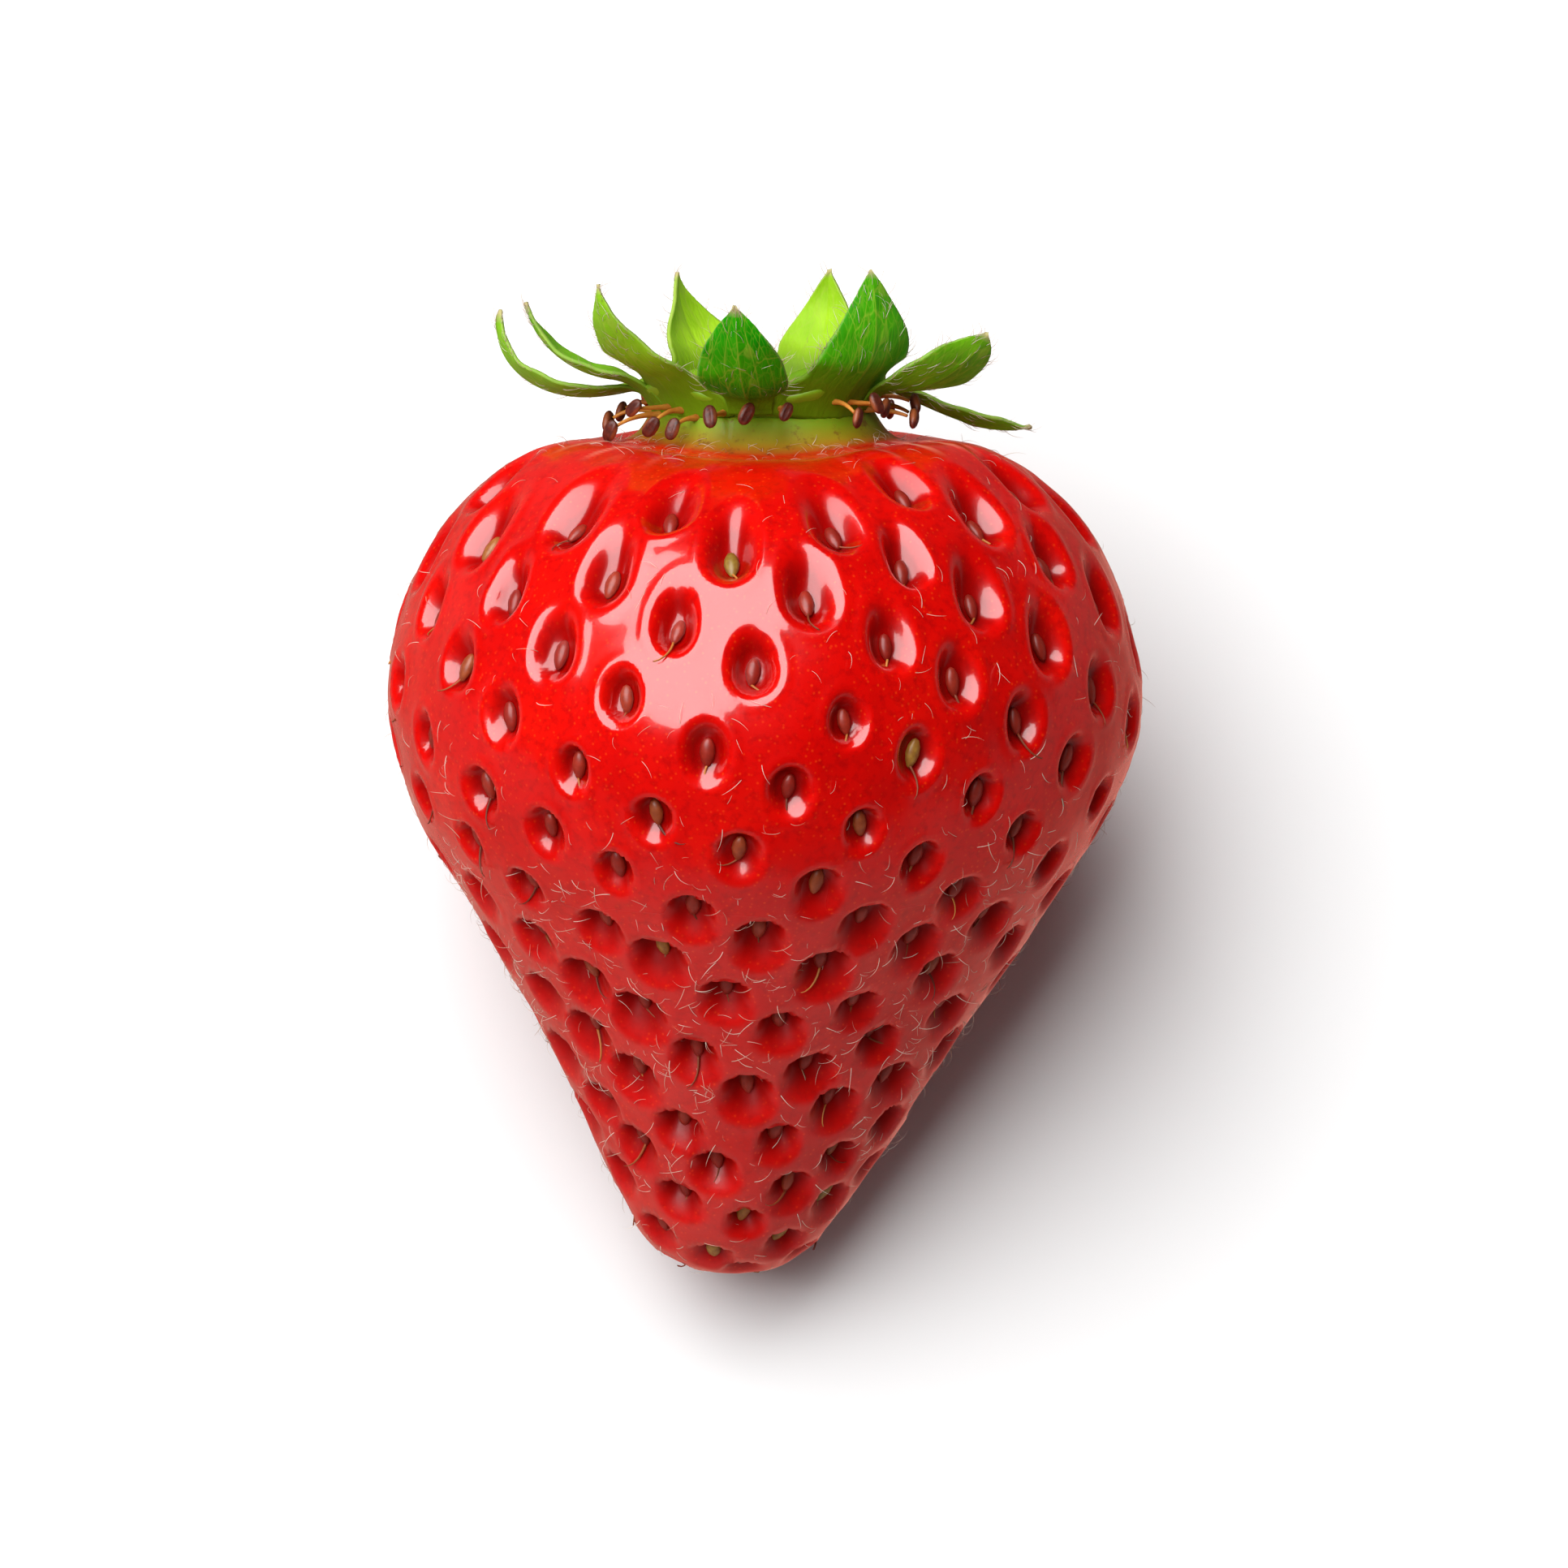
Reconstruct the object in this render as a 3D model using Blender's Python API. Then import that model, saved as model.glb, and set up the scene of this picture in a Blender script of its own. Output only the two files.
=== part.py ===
"""A ripe strawberry lying on its flank, with its calyx, stalk stub and dried stamens.

Metres, +Z up.  The berry rests on a small flat spot of its flank.  The origin is the middle of
that spot, +Y runs along the surface towards the calyx, and +X is the berry's right.

Every piece is shaped in the berry's own growing frame first: the height runs along the axis from
the tip to the stalk, and the angle round the axis is 0 on the side that faces up at rest.
"""

import math

import bmesh
import bpy
from mathutils import Matrix, Vector

MM = 0.001

# How the berry lies: its axis climbs towards the stalk, and its tip hangs just over the surface.
REST_TILT = math.radians(28.5)
TIP_POINT = Vector((0.2, -26.3, 4.6)) * MM

# The fruit.
TIP_LEAN = 1.95 * MM          # the tip bends this far to the berry's left
LEAN_HEIGHT = 32.0 * MM       # the widest height, above which the axis is straight
FRUIT_SIDES = 44
OUTLINE_STEPS = 3
FRUIT_OUTLINE = (             # height above the tip, radius, in mm
    (0.0, 0.0),
    (0.5, 2.7),
    (1.9, 4.7),
    (4.2, 6.4),
    (8.8, 9.0),
    (14.6, 12.2),
    (20.4, 15.9),
    (25.8, 19.3),
    (31.7, 21.1),
    (37.2, 20.4),
    (41.7, 18.2),
    (44.6, 15.4),
    (46.3, 12.7),
    (46.9, 10.4),
    (46.8, 8.6),
    (47.3, 7.1),
    (48.6, 6.1),
    (48.6, 0.0),
)
LOBES = (                     # waves round the fruit: count, share of the radius, phase
    (2, 0.018, 0.9),
    (3, 0.014, 0.5),
    (5, 0.010, 0.2),
)
UNDERSIDE_FULLNESS = 1.1 * MM  # the lower flank is fuller on the side it lies on
UNDERSIDE_HEIGHT = 17.0 * MM
UNDERSIDE_SPREAD = 7.5 * MM
SHOULDER_WAVE = 0.45 * MM     # the shoulder's own rise and fall, three times round
SHOULDER_HEIGHT = 40.0 * MM

# The calyx.
GAP = 0.3 * MM
CALYX_BOTTOM = 48.9 * MM
CALYX_TOP = 50.4 * MM
CALYX_RADIUS = 6.3 * MM
LEAF_START = CALYX_RADIUS + GAP + 0.15 * MM
LEAF_THICKNESS = 0.45 * MM
LEAF_ROWS = 10
LEAF_COLUMNS = 4

# A whorl: its height, how wide its leaves start, and where along them the belly is.
SEPAL = {"height": 50.4 * MM, "foot": 0.88, "belly": 0.22, "taper": 1.5}
BRACTLET = {"height": 49.7 * MM, "foot": 0.62, "belly": 0.38, "taper": 1.9}

# A leaf: its angle round the axis, its lean away from the axis at its base, middle and tip, its
# sideways swing and its twist in degrees; its length, width and the cup of its blade in mm.
LEAVES = {
    "bractlet_left": (BRACTLET, dict(
        angle=-100, lean=(105, 70, -18), swing=0, twist=-24, length=11.3, width=4.2, cup=0.4)),
    "sepal_left": (SEPAL, dict(
        angle=-79, lean=(97, 58, 14), swing=2, twist=16, length=8.6, width=3.0, cup=0.4)),
    "sepal_left_front": (SEPAL, dict(
        angle=-47, lean=(76, 48, 0), swing=2, twist=0, length=8.6, width=4.6, cup=0.4)),
    "bractlet_front": (BRACTLET, dict(
        angle=-6, lean=(90, 50, 14), swing=-1, twist=0, length=9.3, width=4.9, cup=0.4)),
    "sepal_right_front": (SEPAL, dict(
        angle=43, lean=(84, 10, -16), swing=-18, twist=4, length=7.6, width=6.2, cup=0.6)),
    "bractlet_right": (BRACTLET, dict(
        angle=70, lean=(92, 62, 30), swing=0, twist=46, length=7.6, width=5.0, cup=0.4)),
    "bractlet_right_low": (BRACTLET, dict(
        angle=101, lean=(110, 111, 82), swing=4, twist=14, length=9.0, width=4.0, cup=0.3)),
    "sepal_back_right": (SEPAL, dict(
        angle=156, lean=(56, 24, -10), swing=2, twist=0, length=6.2, width=4.6, cup=0.4)),
    "bractlet_back": (BRACTLET, dict(
        angle=180, lean=(96, 98, 104), swing=0, twist=0, length=9.2, width=4.2, cup=0.0)),
    "sepal_back_left": (SEPAL, dict(
        angle=-154, lean=(58, 30, -4), swing=52, twist=10, length=6.3, width=5.0, cup=0.6)),
}

# The cut stalk, up inside the calyx, a little to the left of its middle.
STALK_RADIUS = 1.1 * MM
STALK_LENGTH = 2.0 * MM
STALK_PLACE = -0.7 * MM
STALK_LEAN = math.radians(-10.0)

# The stamens, in a ring under the leaves.
STAMEN_HEIGHT = 49.0 * MM
STAMEN_SIDES = 6
STAMEN_PROFILE = (            # share of the length, radius in mm: filament, then anther
    (0.00, 0.17),
    (0.20, 0.13),
    (0.50, 0.11),
    (0.68, 0.14),
    (0.78, 0.36),
    (0.90, 0.42),
    (0.98, 0.26),
    (1.00, 0.10),
)
STAMENS = (                   # angle round the axis, length in mm, dip towards the fruit
    (-66, 3.2, 46),
    (-54, 2.6, -4),
    (-45, 2.7, 60),
    (-36, 2.3, 44),
    (-20, 2.2, 4),
    (-6, 2.2, 42),
    (9, 2.1, 4),
    (37, 2.7, 56),
    (47, 2.4, -4),
    (56, 2.0, 24),
    (66, 3.0, 26),
    (86, 2.4, 40),
    (104, 2.7, 52),
    (122, 2.3, 38),
    (141, 2.6, 20),
    (163, 2.4, 36),
    (-174, 2.7, 44),
    (-153, 2.3, 14),
    (-131, 2.6, 34),
    (-110, 2.4, 54),
    (-89, 2.6, 56),
)


def to_rest(point):
    """Turn a point of the growing frame (right, up-side, height) into the resting frame."""
    right, up_side, height = point
    along = Vector((0.0, math.cos(REST_TILT), math.sin(REST_TILT)))
    above = Vector((0.0, -math.sin(REST_TILT), math.cos(REST_TILT)))
    return TIP_POINT + Vector((right, 0.0, 0.0)) + above * up_side + along * height


def round_axis(radius, angle, height):
    """A point of the growing frame from its distance and angle round the axis."""
    return Vector((radius * math.sin(angle), radius * math.cos(angle), height))


def material(name, colour, roughness):
    finish = bpy.data.materials.new(name)
    finish.use_nodes = True
    shader = finish.node_tree.nodes["Principled BSDF"]
    shader.inputs["Base Color"].default_value = (*colour, 1.0)
    shader.inputs["Roughness"].default_value = roughness
    shader.inputs["Metallic"].default_value = 0.0
    return finish


def add_object(name, bm, finish, smooth=True):
    """Close a bmesh into a named object, moved from the growing frame to the resting frame."""
    for vert in bm.verts:
        vert.co = to_rest(vert.co)
    bm.normal_update()
    bmesh.ops.recalc_face_normals(bm, faces=bm.faces)
    mesh = bpy.data.meshes.new(name)
    bm.to_mesh(mesh)
    bm.free()
    if smooth:
        mesh.shade_smooth()
    mesh.materials.append(finish)
    part = bpy.data.objects.new(name, mesh)
    bpy.context.scene.collection.objects.link(part)
    return part


def smooth_line(points, steps):
    """Points on a Catmull-Rom curve through the given pairs."""
    line = []
    last = len(points) - 1
    for i in range(last):
        before, start = Vector(points[max(i - 1, 0)]), Vector(points[i])
        end, after = Vector(points[i + 1]), Vector(points[min(i + 2, last)])
        for k in range(steps):
            t = k / steps
            line.append(
                0.5 * (2 * start + (end - before) * t
                       + (2 * before - 5 * start + 4 * end - after) * t ** 2
                       + (3 * start - before - 3 * end + after) * t ** 3)
            )
    line.append(Vector(points[last]))
    return line


def spin_profile(profile, sides):
    """Turn pairs of height and radius round the axis into a closed skin."""
    bm = bmesh.new()
    verts = [bm.verts.new((radius, 0.0, height)) for height, radius in profile]
    edges = [bm.edges.new(pair) for pair in zip(verts, verts[1:])]
    bmesh.ops.spin(bm, geom=verts + edges, cent=(0, 0, 0), axis=(0, 0, 1), dvec=(0, 0, 0),
                   angle=math.tau, steps=sides, use_merge=False, use_duplicate=False)
    bmesh.ops.remove_doubles(bm, verts=bm.verts, dist=0.005 * MM)
    return bm


def shape_fruit(vert):
    """Give a turned skin the fruit's lobes, its uneven shoulder and its leaning tip."""
    x, y, height = vert.co
    angle = math.atan2(x, y)
    radius = math.hypot(x, y)
    rim = min(radius / (8 * MM), 1.0)
    neck = max(0.0, min((48.0 * MM - height) / (2.0 * MM), 1.0))
    swell = 1.0 + rim * neck * sum(
        share * math.cos(count * angle + phase) for count, share, phase in LOBES)
    shoulder = max(0.0, min((height - SHOULDER_HEIGHT) / (5 * MM), 1.0)) * neck
    rise = SHOULDER_WAVE * shoulder * math.cos(3 * angle + math.pi)
    lean = TIP_LEAN * max(0.0, 1.0 - height / LEAN_HEIGHT) ** 2
    under = max(0.0, -math.cos(angle)) ** 2
    full = under * math.exp(-((height - UNDERSIDE_HEIGHT) / UNDERSIDE_SPREAD) ** 2)
    if radius > 0:
        swell += UNDERSIDE_FULLNESS * full / radius
    vert.co = (x * swell - lean, y * swell, height + rise)


def fruit_body(finish):
    """The receptacle and its neck, with the flat spot cut where it lies."""
    line = smooth_line(FRUIT_OUTLINE[:-1], OUTLINE_STEPS) + [Vector(FRUIT_OUTLINE[-1])]
    bm = spin_profile([(h * MM, max(r, 0.0) * MM) for h, r in line], FRUIT_SIDES)
    for vert in bm.verts:
        shape_fruit(vert)
    for vert in bm.verts:
        vert.co = to_rest(vert.co)
    bmesh.ops.bisect_plane(bm, geom=bm.verts[:] + bm.edges[:] + bm.faces[:], dist=0.0001 * MM,
                           plane_co=(0, 0, 0), plane_no=(0, 0, -1), clear_outer=True)
    rim = [edge for edge in bm.edges if edge.is_boundary]
    bmesh.ops.edgeloop_fill(bm, edges=rim)
    bm.normal_update()
    bmesh.ops.recalc_face_normals(bm, faces=bm.faces)
    mesh = bpy.data.meshes.new("fruit_body")
    bm.to_mesh(mesh)
    bm.free()
    mesh.shade_smooth()
    mesh.set_sharp_from_angle(angle=math.radians(40))
    mesh.materials.append(finish)
    bpy.context.scene.collection.objects.link(bpy.data.objects.new("fruit_body", mesh))


def calyx_base(finish):
    """The thin disc on the neck, with a rounded rim."""
    edge = 0.35 * MM
    profile = (
        (CALYX_BOTTOM, 0.0),
        (CALYX_BOTTOM, CALYX_RADIUS - edge),
        (CALYX_BOTTOM + edge, CALYX_RADIUS),
        (CALYX_TOP - edge, CALYX_RADIUS),
        (CALYX_TOP, CALYX_RADIUS - edge),
        (CALYX_TOP, 0.0),
    )
    add_object("calyx_base", spin_profile(profile, 36), finish, smooth=False)


def leaf_half_width(share, width, whorl):
    """Half the blade's width at a share of its length: a foot, a belly and a pointed end."""
    if share < whorl["belly"]:
        rise = math.sin(0.5 * math.pi * share / whorl["belly"])
        full = whorl["foot"] + (1.0 - whorl["foot"]) * rise
    else:
        full = 1.0 - ((share - whorl["belly"]) / (1.0 - whorl["belly"])) ** whorl["taper"]
    return max(0.5 * width * full, 0.14 * MM)


def leaf(name, whorl, spec, finish):
    """One sepal or bractlet: a cupped blade that leaves the calyx base and curves as it grows."""
    length, width, cup = spec["length"] * MM, spec["width"] * MM, spec["cup"] * MM
    angle, swing, twist = map(math.radians, (spec["angle"], spec["swing"], spec["twist"]))
    low_lean, mid_lean, high_lean = map(math.radians, spec["lean"])
    bm = bmesh.new()
    place = round_axis(LEAF_START, angle, whorl["height"])
    rows = []
    for i in range(LEAF_ROWS + 1):
        share = i / LEAF_ROWS
        lean = (low_lean * (1 - share) * (1 - 2 * share) + mid_lean * 4 * share * (1 - share)
                + high_lean * share * (2 * share - 1))
        turn = angle + swing * share
        out = Vector((math.sin(turn), math.cos(turn), 0.0))
        grow = out * math.sin(lean) + Vector((0.0, 0.0, math.cos(lean)))
        if i:
            place = place + grow * length / LEAF_ROWS
        across = Vector((out.y, -out.x, 0.0))
        across = Matrix.Rotation(twist * share, 3, grow) @ across
        inward = across.cross(grow).normalized()
        half = leaf_half_width(share, width, whorl)
        row = []
        for k in range(LEAF_COLUMNS + 1):
            side = 2.0 * k / LEAF_COLUMNS - 1.0
            curl = cup * side * side * (2.0 * half / width)
            row.append(bm.verts.new(place + across * side * half + inward * curl))
        rows.append(row)
    for low, high in zip(rows, rows[1:]):
        for k in range(LEAF_COLUMNS):
            bm.faces.new((low[k], low[k + 1], high[k + 1], high[k]))
    blade = add_object(name, bm, finish)
    wall = blade.modifiers.new("thickness", "SOLIDIFY")
    wall.thickness = LEAF_THICKNESS
    wall.offset = 0.0


def stalk_stub(finish):
    """The cut end of the stalk, with a slightly wider foot."""
    start = CALYX_TOP + GAP
    profile = [
        (0.0, 0.0),
        (0.0, 1.25 * STALK_RADIUS),
        (0.35 * STALK_LENGTH, STALK_RADIUS),
        (STALK_LENGTH - 0.15 * MM, STALK_RADIUS),
        (STALK_LENGTH, STALK_RADIUS - 0.15 * MM),
        (STALK_LENGTH, 0.0),
    ]
    bm = spin_profile(profile, 16)
    for vert in bm.verts:
        vert.co.x += STALK_PLACE + math.tan(STALK_LEAN) * vert.co.z
        vert.co.z += start
    add_object("stalk_stub", bm, finish)


def stamen(name, angle, length, dip, finish):
    """One dried stamen: a thin filament that ends in a fat anther, as one solid."""
    angle, dip, length = math.radians(angle), math.radians(dip), length * MM
    out = Vector((math.sin(angle), math.cos(angle), 0.0))
    across = Vector((out.y, -out.x, 0.0))
    bm = bmesh.new()
    place = round_axis(LEAF_START, angle, STAMEN_HEIGHT)
    rings = []
    passed = 0.0
    for share, radius in STAMEN_PROFILE:
        bend = dip * share
        grow = out * math.cos(bend) - Vector((0.0, 0.0, math.sin(bend)))
        place = place + grow * length * (share - passed)
        passed = share
        up = across.cross(grow)
        ring = []
        for k in range(STAMEN_SIDES):
            around = math.tau * k / STAMEN_SIDES
            offset = across * math.cos(around) + up * math.sin(around)
            ring.append(bm.verts.new(place + offset * radius * MM))
        rings.append(ring)
    for low, high in zip(rings, rings[1:]):
        for k in range(STAMEN_SIDES):
            after = (k + 1) % STAMEN_SIDES
            bm.faces.new((low[k], low[after], high[after], high[k]))
    bm.faces.new(rings[0])
    bm.faces.new(rings[-1])
    add_object(name, bm, finish)


def main():
    for old in list(bpy.data.objects):
        bpy.data.objects.remove(old, do_unlink=True)

    flesh = material("ripe_skin", (0.60, 0.010, 0.006), 0.35)
    green = material("calyx_green", (0.10, 0.26, 0.02), 0.55)
    stalk = material("cut_stalk", (0.30, 0.42, 0.10), 0.6)
    dried = material("dried_stamen", (0.14, 0.03, 0.01), 0.5)

    fruit_body(flesh)
    calyx_base(green)
    for name, (whorl, spec) in LEAVES.items():
        leaf(name, whorl, spec, green)
    stalk_stub(stalk)
    for i, (angle, length, dip) in enumerate(STAMENS, 1):
        stamen(f"stamen_{i:02d}", angle, length, dip, dried)


main()
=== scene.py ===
import math

import bpy
import numpy as np
from mathutils import Matrix, Vector, noise


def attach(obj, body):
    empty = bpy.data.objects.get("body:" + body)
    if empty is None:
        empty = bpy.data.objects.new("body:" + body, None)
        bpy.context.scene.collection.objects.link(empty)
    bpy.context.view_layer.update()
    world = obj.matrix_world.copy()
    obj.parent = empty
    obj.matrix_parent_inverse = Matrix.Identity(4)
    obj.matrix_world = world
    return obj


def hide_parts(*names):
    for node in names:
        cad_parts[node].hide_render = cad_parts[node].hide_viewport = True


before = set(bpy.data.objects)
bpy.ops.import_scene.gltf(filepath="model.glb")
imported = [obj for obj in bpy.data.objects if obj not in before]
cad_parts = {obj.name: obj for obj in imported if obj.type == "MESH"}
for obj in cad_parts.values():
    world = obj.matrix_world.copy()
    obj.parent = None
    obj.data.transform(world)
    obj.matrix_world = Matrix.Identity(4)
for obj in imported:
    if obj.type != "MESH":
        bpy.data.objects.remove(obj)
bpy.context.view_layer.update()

mm = 0.001
print("frame loaded,", len(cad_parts), "nodes")


def smoothStep(low, high, value):
    share = np.clip((value - low) / (high - low), 0.0, 1.0)
    return share * share * (3.0 - 2.0 * share)


def blendOf(first, second, share):
    return first + (second - first) * share


def selectOnly(piece):
    bpy.ops.object.select_all(action="DESELECT")
    piece.select_set(True)
    bpy.context.view_layer.objects.active = piece


def newPrimitive(addOperator, name, **settings):
    bpy.ops.object.select_all(action="DESELECT")
    addOperator(**settings)
    piece = bpy.context.active_object
    piece.name = name
    piece.data.name = name
    return piece


def applyModifiers(piece):
    selectOnly(piece)
    for modifier in list(piece.modifiers):
        bpy.ops.object.modifier_apply(modifier=modifier.name)


def pointsOf(mesh):
    points = np.empty(len(mesh.vertices) * 3)
    mesh.vertices.foreach_get("co", points)
    return points.reshape(-1, 3)


def setPoints(mesh, points):
    mesh.vertices.foreach_set("co", np.asarray(points, dtype=np.float32).ravel())
    mesh.update()


def normalsOf(mesh):
    normals = np.empty(len(mesh.vertices) * 3, dtype=np.float32)
    mesh.vertex_normals.foreach_get("vector", normals)
    return normals.reshape(-1, 3).astype(float)


def setShare(mesh, name, values):
    layer = mesh.attributes.new(name, "FLOAT", "POINT")
    layer.data.foreach_set("value", np.asarray(values, dtype=np.float32))


def unitRows(rows):
    return rows / np.maximum(np.linalg.norm(rows, axis=-1, keepdims=True), 1e-12)


# Soft noise at each point, with lumps of the given size.
def lumps(points, size):
    return np.array([noise.noise(Vector(point) / size) for point in points])


def fixNormals(piece):
    selectOnly(piece)
    bpy.ops.object.mode_set(mode="EDIT")
    bpy.ops.mesh.select_all(action="SELECT")
    bpy.ops.mesh.normals_make_consistent(inside=False)
    bpy.ops.object.mode_set(mode="OBJECT")


# One joined piece from many copies of a template. Each place is (origin, three axes as rows, tint).
def copyAll(name, template, places):
    points = pointsOf(template.data)
    count = len(points)
    faces = [tuple(face.vertices) for face in template.data.polygons]
    allPoints = []
    allFaces = []
    tints = []
    for i, (origin, axes, tint) in enumerate(places):
        allPoints.append(points @ axes + origin)
        allFaces += [tuple(v + i * count for v in face) for face in faces]
        tints += [tint] * count
    mesh = bpy.data.meshes.new(name)
    mesh.from_pydata(np.concatenate(allPoints).tolist(), [], allFaces)
    mesh.update()
    setShare(mesh, "tint", tints)
    mesh.shade_smooth()
    piece = bpy.data.objects.new(name, mesh)
    bpy.context.scene.collection.objects.link(piece)
    return piece


# A thin tube grown upwards by extrusion. Each step is (sideways move and climb in mm, scale).
def growTube(name, sides, radius, steps):
    tube = newPrimitive(bpy.ops.mesh.primitive_circle_add, name, vertices=sides, radius=radius,
                        fill_type="NGON")
    bpy.ops.object.mode_set(mode="EDIT")
    bpy.ops.mesh.select_all(action="SELECT")
    for sideways, climb, scale in steps:
        move = (sideways * mm, 0, climb * mm)
        bpy.ops.mesh.extrude_region_move(TRANSFORM_OT_translate={"value": move})
        bpy.ops.transform.resize(value=(scale, scale, scale))
    bpy.ops.object.mode_set(mode="OBJECT")
    fixNormals(tube)
    return tube


# An sRGB hex colour as linear values.
def toLinear(hexColour):
    channels = [int(hexColour[i:i + 2], 16) / 255 for i in (1, 3, 5)]
    linear = [c / 12.92 if c <= 0.04045 else ((c + 0.055) / 1.055) ** 2.4 for c in channels]
    return (*linear, 1.0)


# A new material. Its even values go on the shader's own sockets.
def newMaterial(name, values):
    material = bpy.data.materials.new(name)
    material.use_nodes = True
    tree = material.node_tree
    shader = tree.nodes["Principled BSDF"]
    for key, value in values.items():
        shader.inputs[key].default_value = value
    return material, tree, shader


# Adds a node. A setting is the node's own, an input is a value or another node's output, and stops
# are the places and colours of a colour ramp.
def addNode(tree, kind, settings=None, inputs=None, stops=()):
    node = tree.nodes.new(kind)
    for key, value in (settings or {}).items():
        setattr(node, key, value)
    for key, value in (inputs or {}).items():
        if isinstance(value, bpy.types.NodeSocket):
            tree.links.new(value, node.inputs[key])
        else:
            node.inputs[key].default_value = value
    for i, (position, colour) in enumerate(stops):
        if i < 2:
            node.color_ramp.elements[i].position = position
            node.color_ramp.elements[i].color = colour
        else:
            node.color_ramp.elements.new(position).color = colour
    return node


def grey(value):
    return (value, value, value, 1.0)


# A texture scale from the number of grains in a millimetre; Object coordinates are metres.
def perMillimetre(count):
    return count / mm


# The berry in its own frame: right, the side that faces up, and height along its axis, all in mm.
berry = {
    "tip": (0.2, -26.3, 4.6),      # the tip's place, mm
    "tilt": 28.5,                  # climb of the axis towards the stalk, degrees
    "lean": 1.95,                  # the tip bends this far to the left, mm
    "leanHeight": 32.0,
    "lobes": ((2, 0.018, 0.9), (3, 0.014, 0.5), (5, 0.010, 0.2)),      # count, share, phase
    "shoulderWave": 0.45,
    "shoulderHeight": 40.0,
    "underFullness": 1.1,          # the side it lies on is fuller, mm
    "underHeight": 17.0,
    "underSpread": 7.5,
    "middle": 25.0,
    "slopeStep": 0.05,             # how far apart two points that give a slope are
    # height and radius from the tip, over the widest part and the shoulder, to the neck
    "outline": ((0.0, 0.0), (0.5, 2.7), (1.9, 4.7), (4.2, 6.4), (8.8, 9.0), (14.6, 12.2),
                (20.4, 15.9), (25.8, 19.3), (31.7, 21.1), (37.2, 20.4), (41.7, 18.2),
                (44.6, 15.4), (46.3, 12.7), (46.9, 10.4), (46.8, 8.6), (47.3, 7.1), (48.6, 6.1)),
}
tilt = math.radians(berry["tilt"])
rightWay = np.array((1.0, 0.0, 0.0))
aboveWay = np.array((0.0, -math.sin(tilt), math.cos(tilt)))
alongWay = np.array((0.0, math.cos(tilt), math.sin(tilt)))
tipPlace = np.array(berry["tip"])


# Points from the berry's own frame, in mm, to where it lies, in metres.
def toRest(points):
    points = np.asarray(points, dtype=float)
    turned = (points[..., :1] * rightWay + points[..., 1:2] * aboveWay
              + points[..., 2:] * alongWay)
    return (turned + tipPlace) * mm


# The same turn for directions, which have no place.
def turnToRest(ways):
    ways = np.asarray(ways, dtype=float)
    return ways[..., :1] * rightWay + ways[..., 1:2] * aboveWay + ways[..., 2:] * alongWay


# A smooth line through all the points.
def smoothLine(points, steps):
    line = []
    last = len(points) - 1
    points = [np.array(point) for point in points]
    for i in range(last):
        before, start = points[max(i - 1, 0)], points[i]
        end, after = points[i + 1], points[min(i + 2, last)]
        for k in range(steps):
            t = k / steps
            line.append(0.5 * (2 * start + (end - before) * t
                               + (2 * before - 5 * start + 4 * end - after) * t ** 2
                               + (3 * start - before - 3 * end + after) * t ** 3))
    line.append(points[last])
    return np.array(line)


neckTop = (berry["outline"][-1][0], 0.0)
outlineLine = np.vstack((smoothLine(berry["outline"], 16), (neckTop,)))
outlineArc = np.concatenate(((0.0,), np.cumsum(np.linalg.norm(np.diff(outlineLine, axis=0),
                                                              axis=1))))
wholeArc = outlineArc[-1]


# The berry's smooth form. The angle round the axis is in radians, 0 on the side that faces up, and
# arc is the way along the outline from the tip, in mm.
def berryForm(angle, arc):
    height = np.interp(arc, outlineArc, outlineLine[:, 0])
    radius = np.interp(arc, outlineArc, np.maximum(outlineLine[:, 1], 0.0))
    rim = np.minimum(radius / 8.0, 1.0)
    neckFade = np.clip((48.0 - height) / 2.0, 0.0, 1.0)
    swell = 1.0 + rim * neckFade * sum(part * np.cos(count * angle + phase)
                                       for count, part, phase in berry["lobes"])
    shoulder = np.clip((height - berry["shoulderHeight"]) / 5.0, 0.0, 1.0) * neckFade
    rise = berry["shoulderWave"] * shoulder * np.cos(3 * angle + math.pi)
    lean = berry["lean"] * np.maximum(0.0, 1.0 - height / berry["leanHeight"]) ** 2
    under = np.maximum(0.0, -np.cos(angle)) ** 2
    full = under * np.exp(-((height - berry["underHeight"]) / berry["underSpread"]) ** 2)
    swell = swell + berry["underFullness"] * full / np.maximum(radius, 0.5)
    return np.stack((radius * np.sin(angle) * swell - lean, radius * np.cos(angle) * swell,
                     height + rise), axis=-1)


# The seeds lie on a golden-angle spiral whose spacing follows the height.
seeds = {
    "spacing": ((0.0, 3.3), (6.0, 3.9), (14.0, 4.35), (22.0, 4.6), (30.0, 5.3), (38.0, 5.6),
                (46.0, 5.0)),      # height, distance between neighbours, mm
    "firstArc": 1.6,
    "lastRadius": 14.4,            # the top of the shoulder has none inside this
    "goldenAngle": 2.39996,
    "turn": 0.55,
    "jitter": 0.34,
    "seed": 11,
    "length": 1.5,
    "width": 0.78,
    "styleShare": 0.62,            # how many keep their dried style
    "styleRadius": 0.065,
    "styleReach": 1.4,             # taken when a style is kept off the floor, mm
    "styleFloor": 0.35,            # no style comes lower than this
    "seedFloor": 0.5,              # and no seed
}
dice = np.random.default_rng(seeds["seed"])


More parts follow.
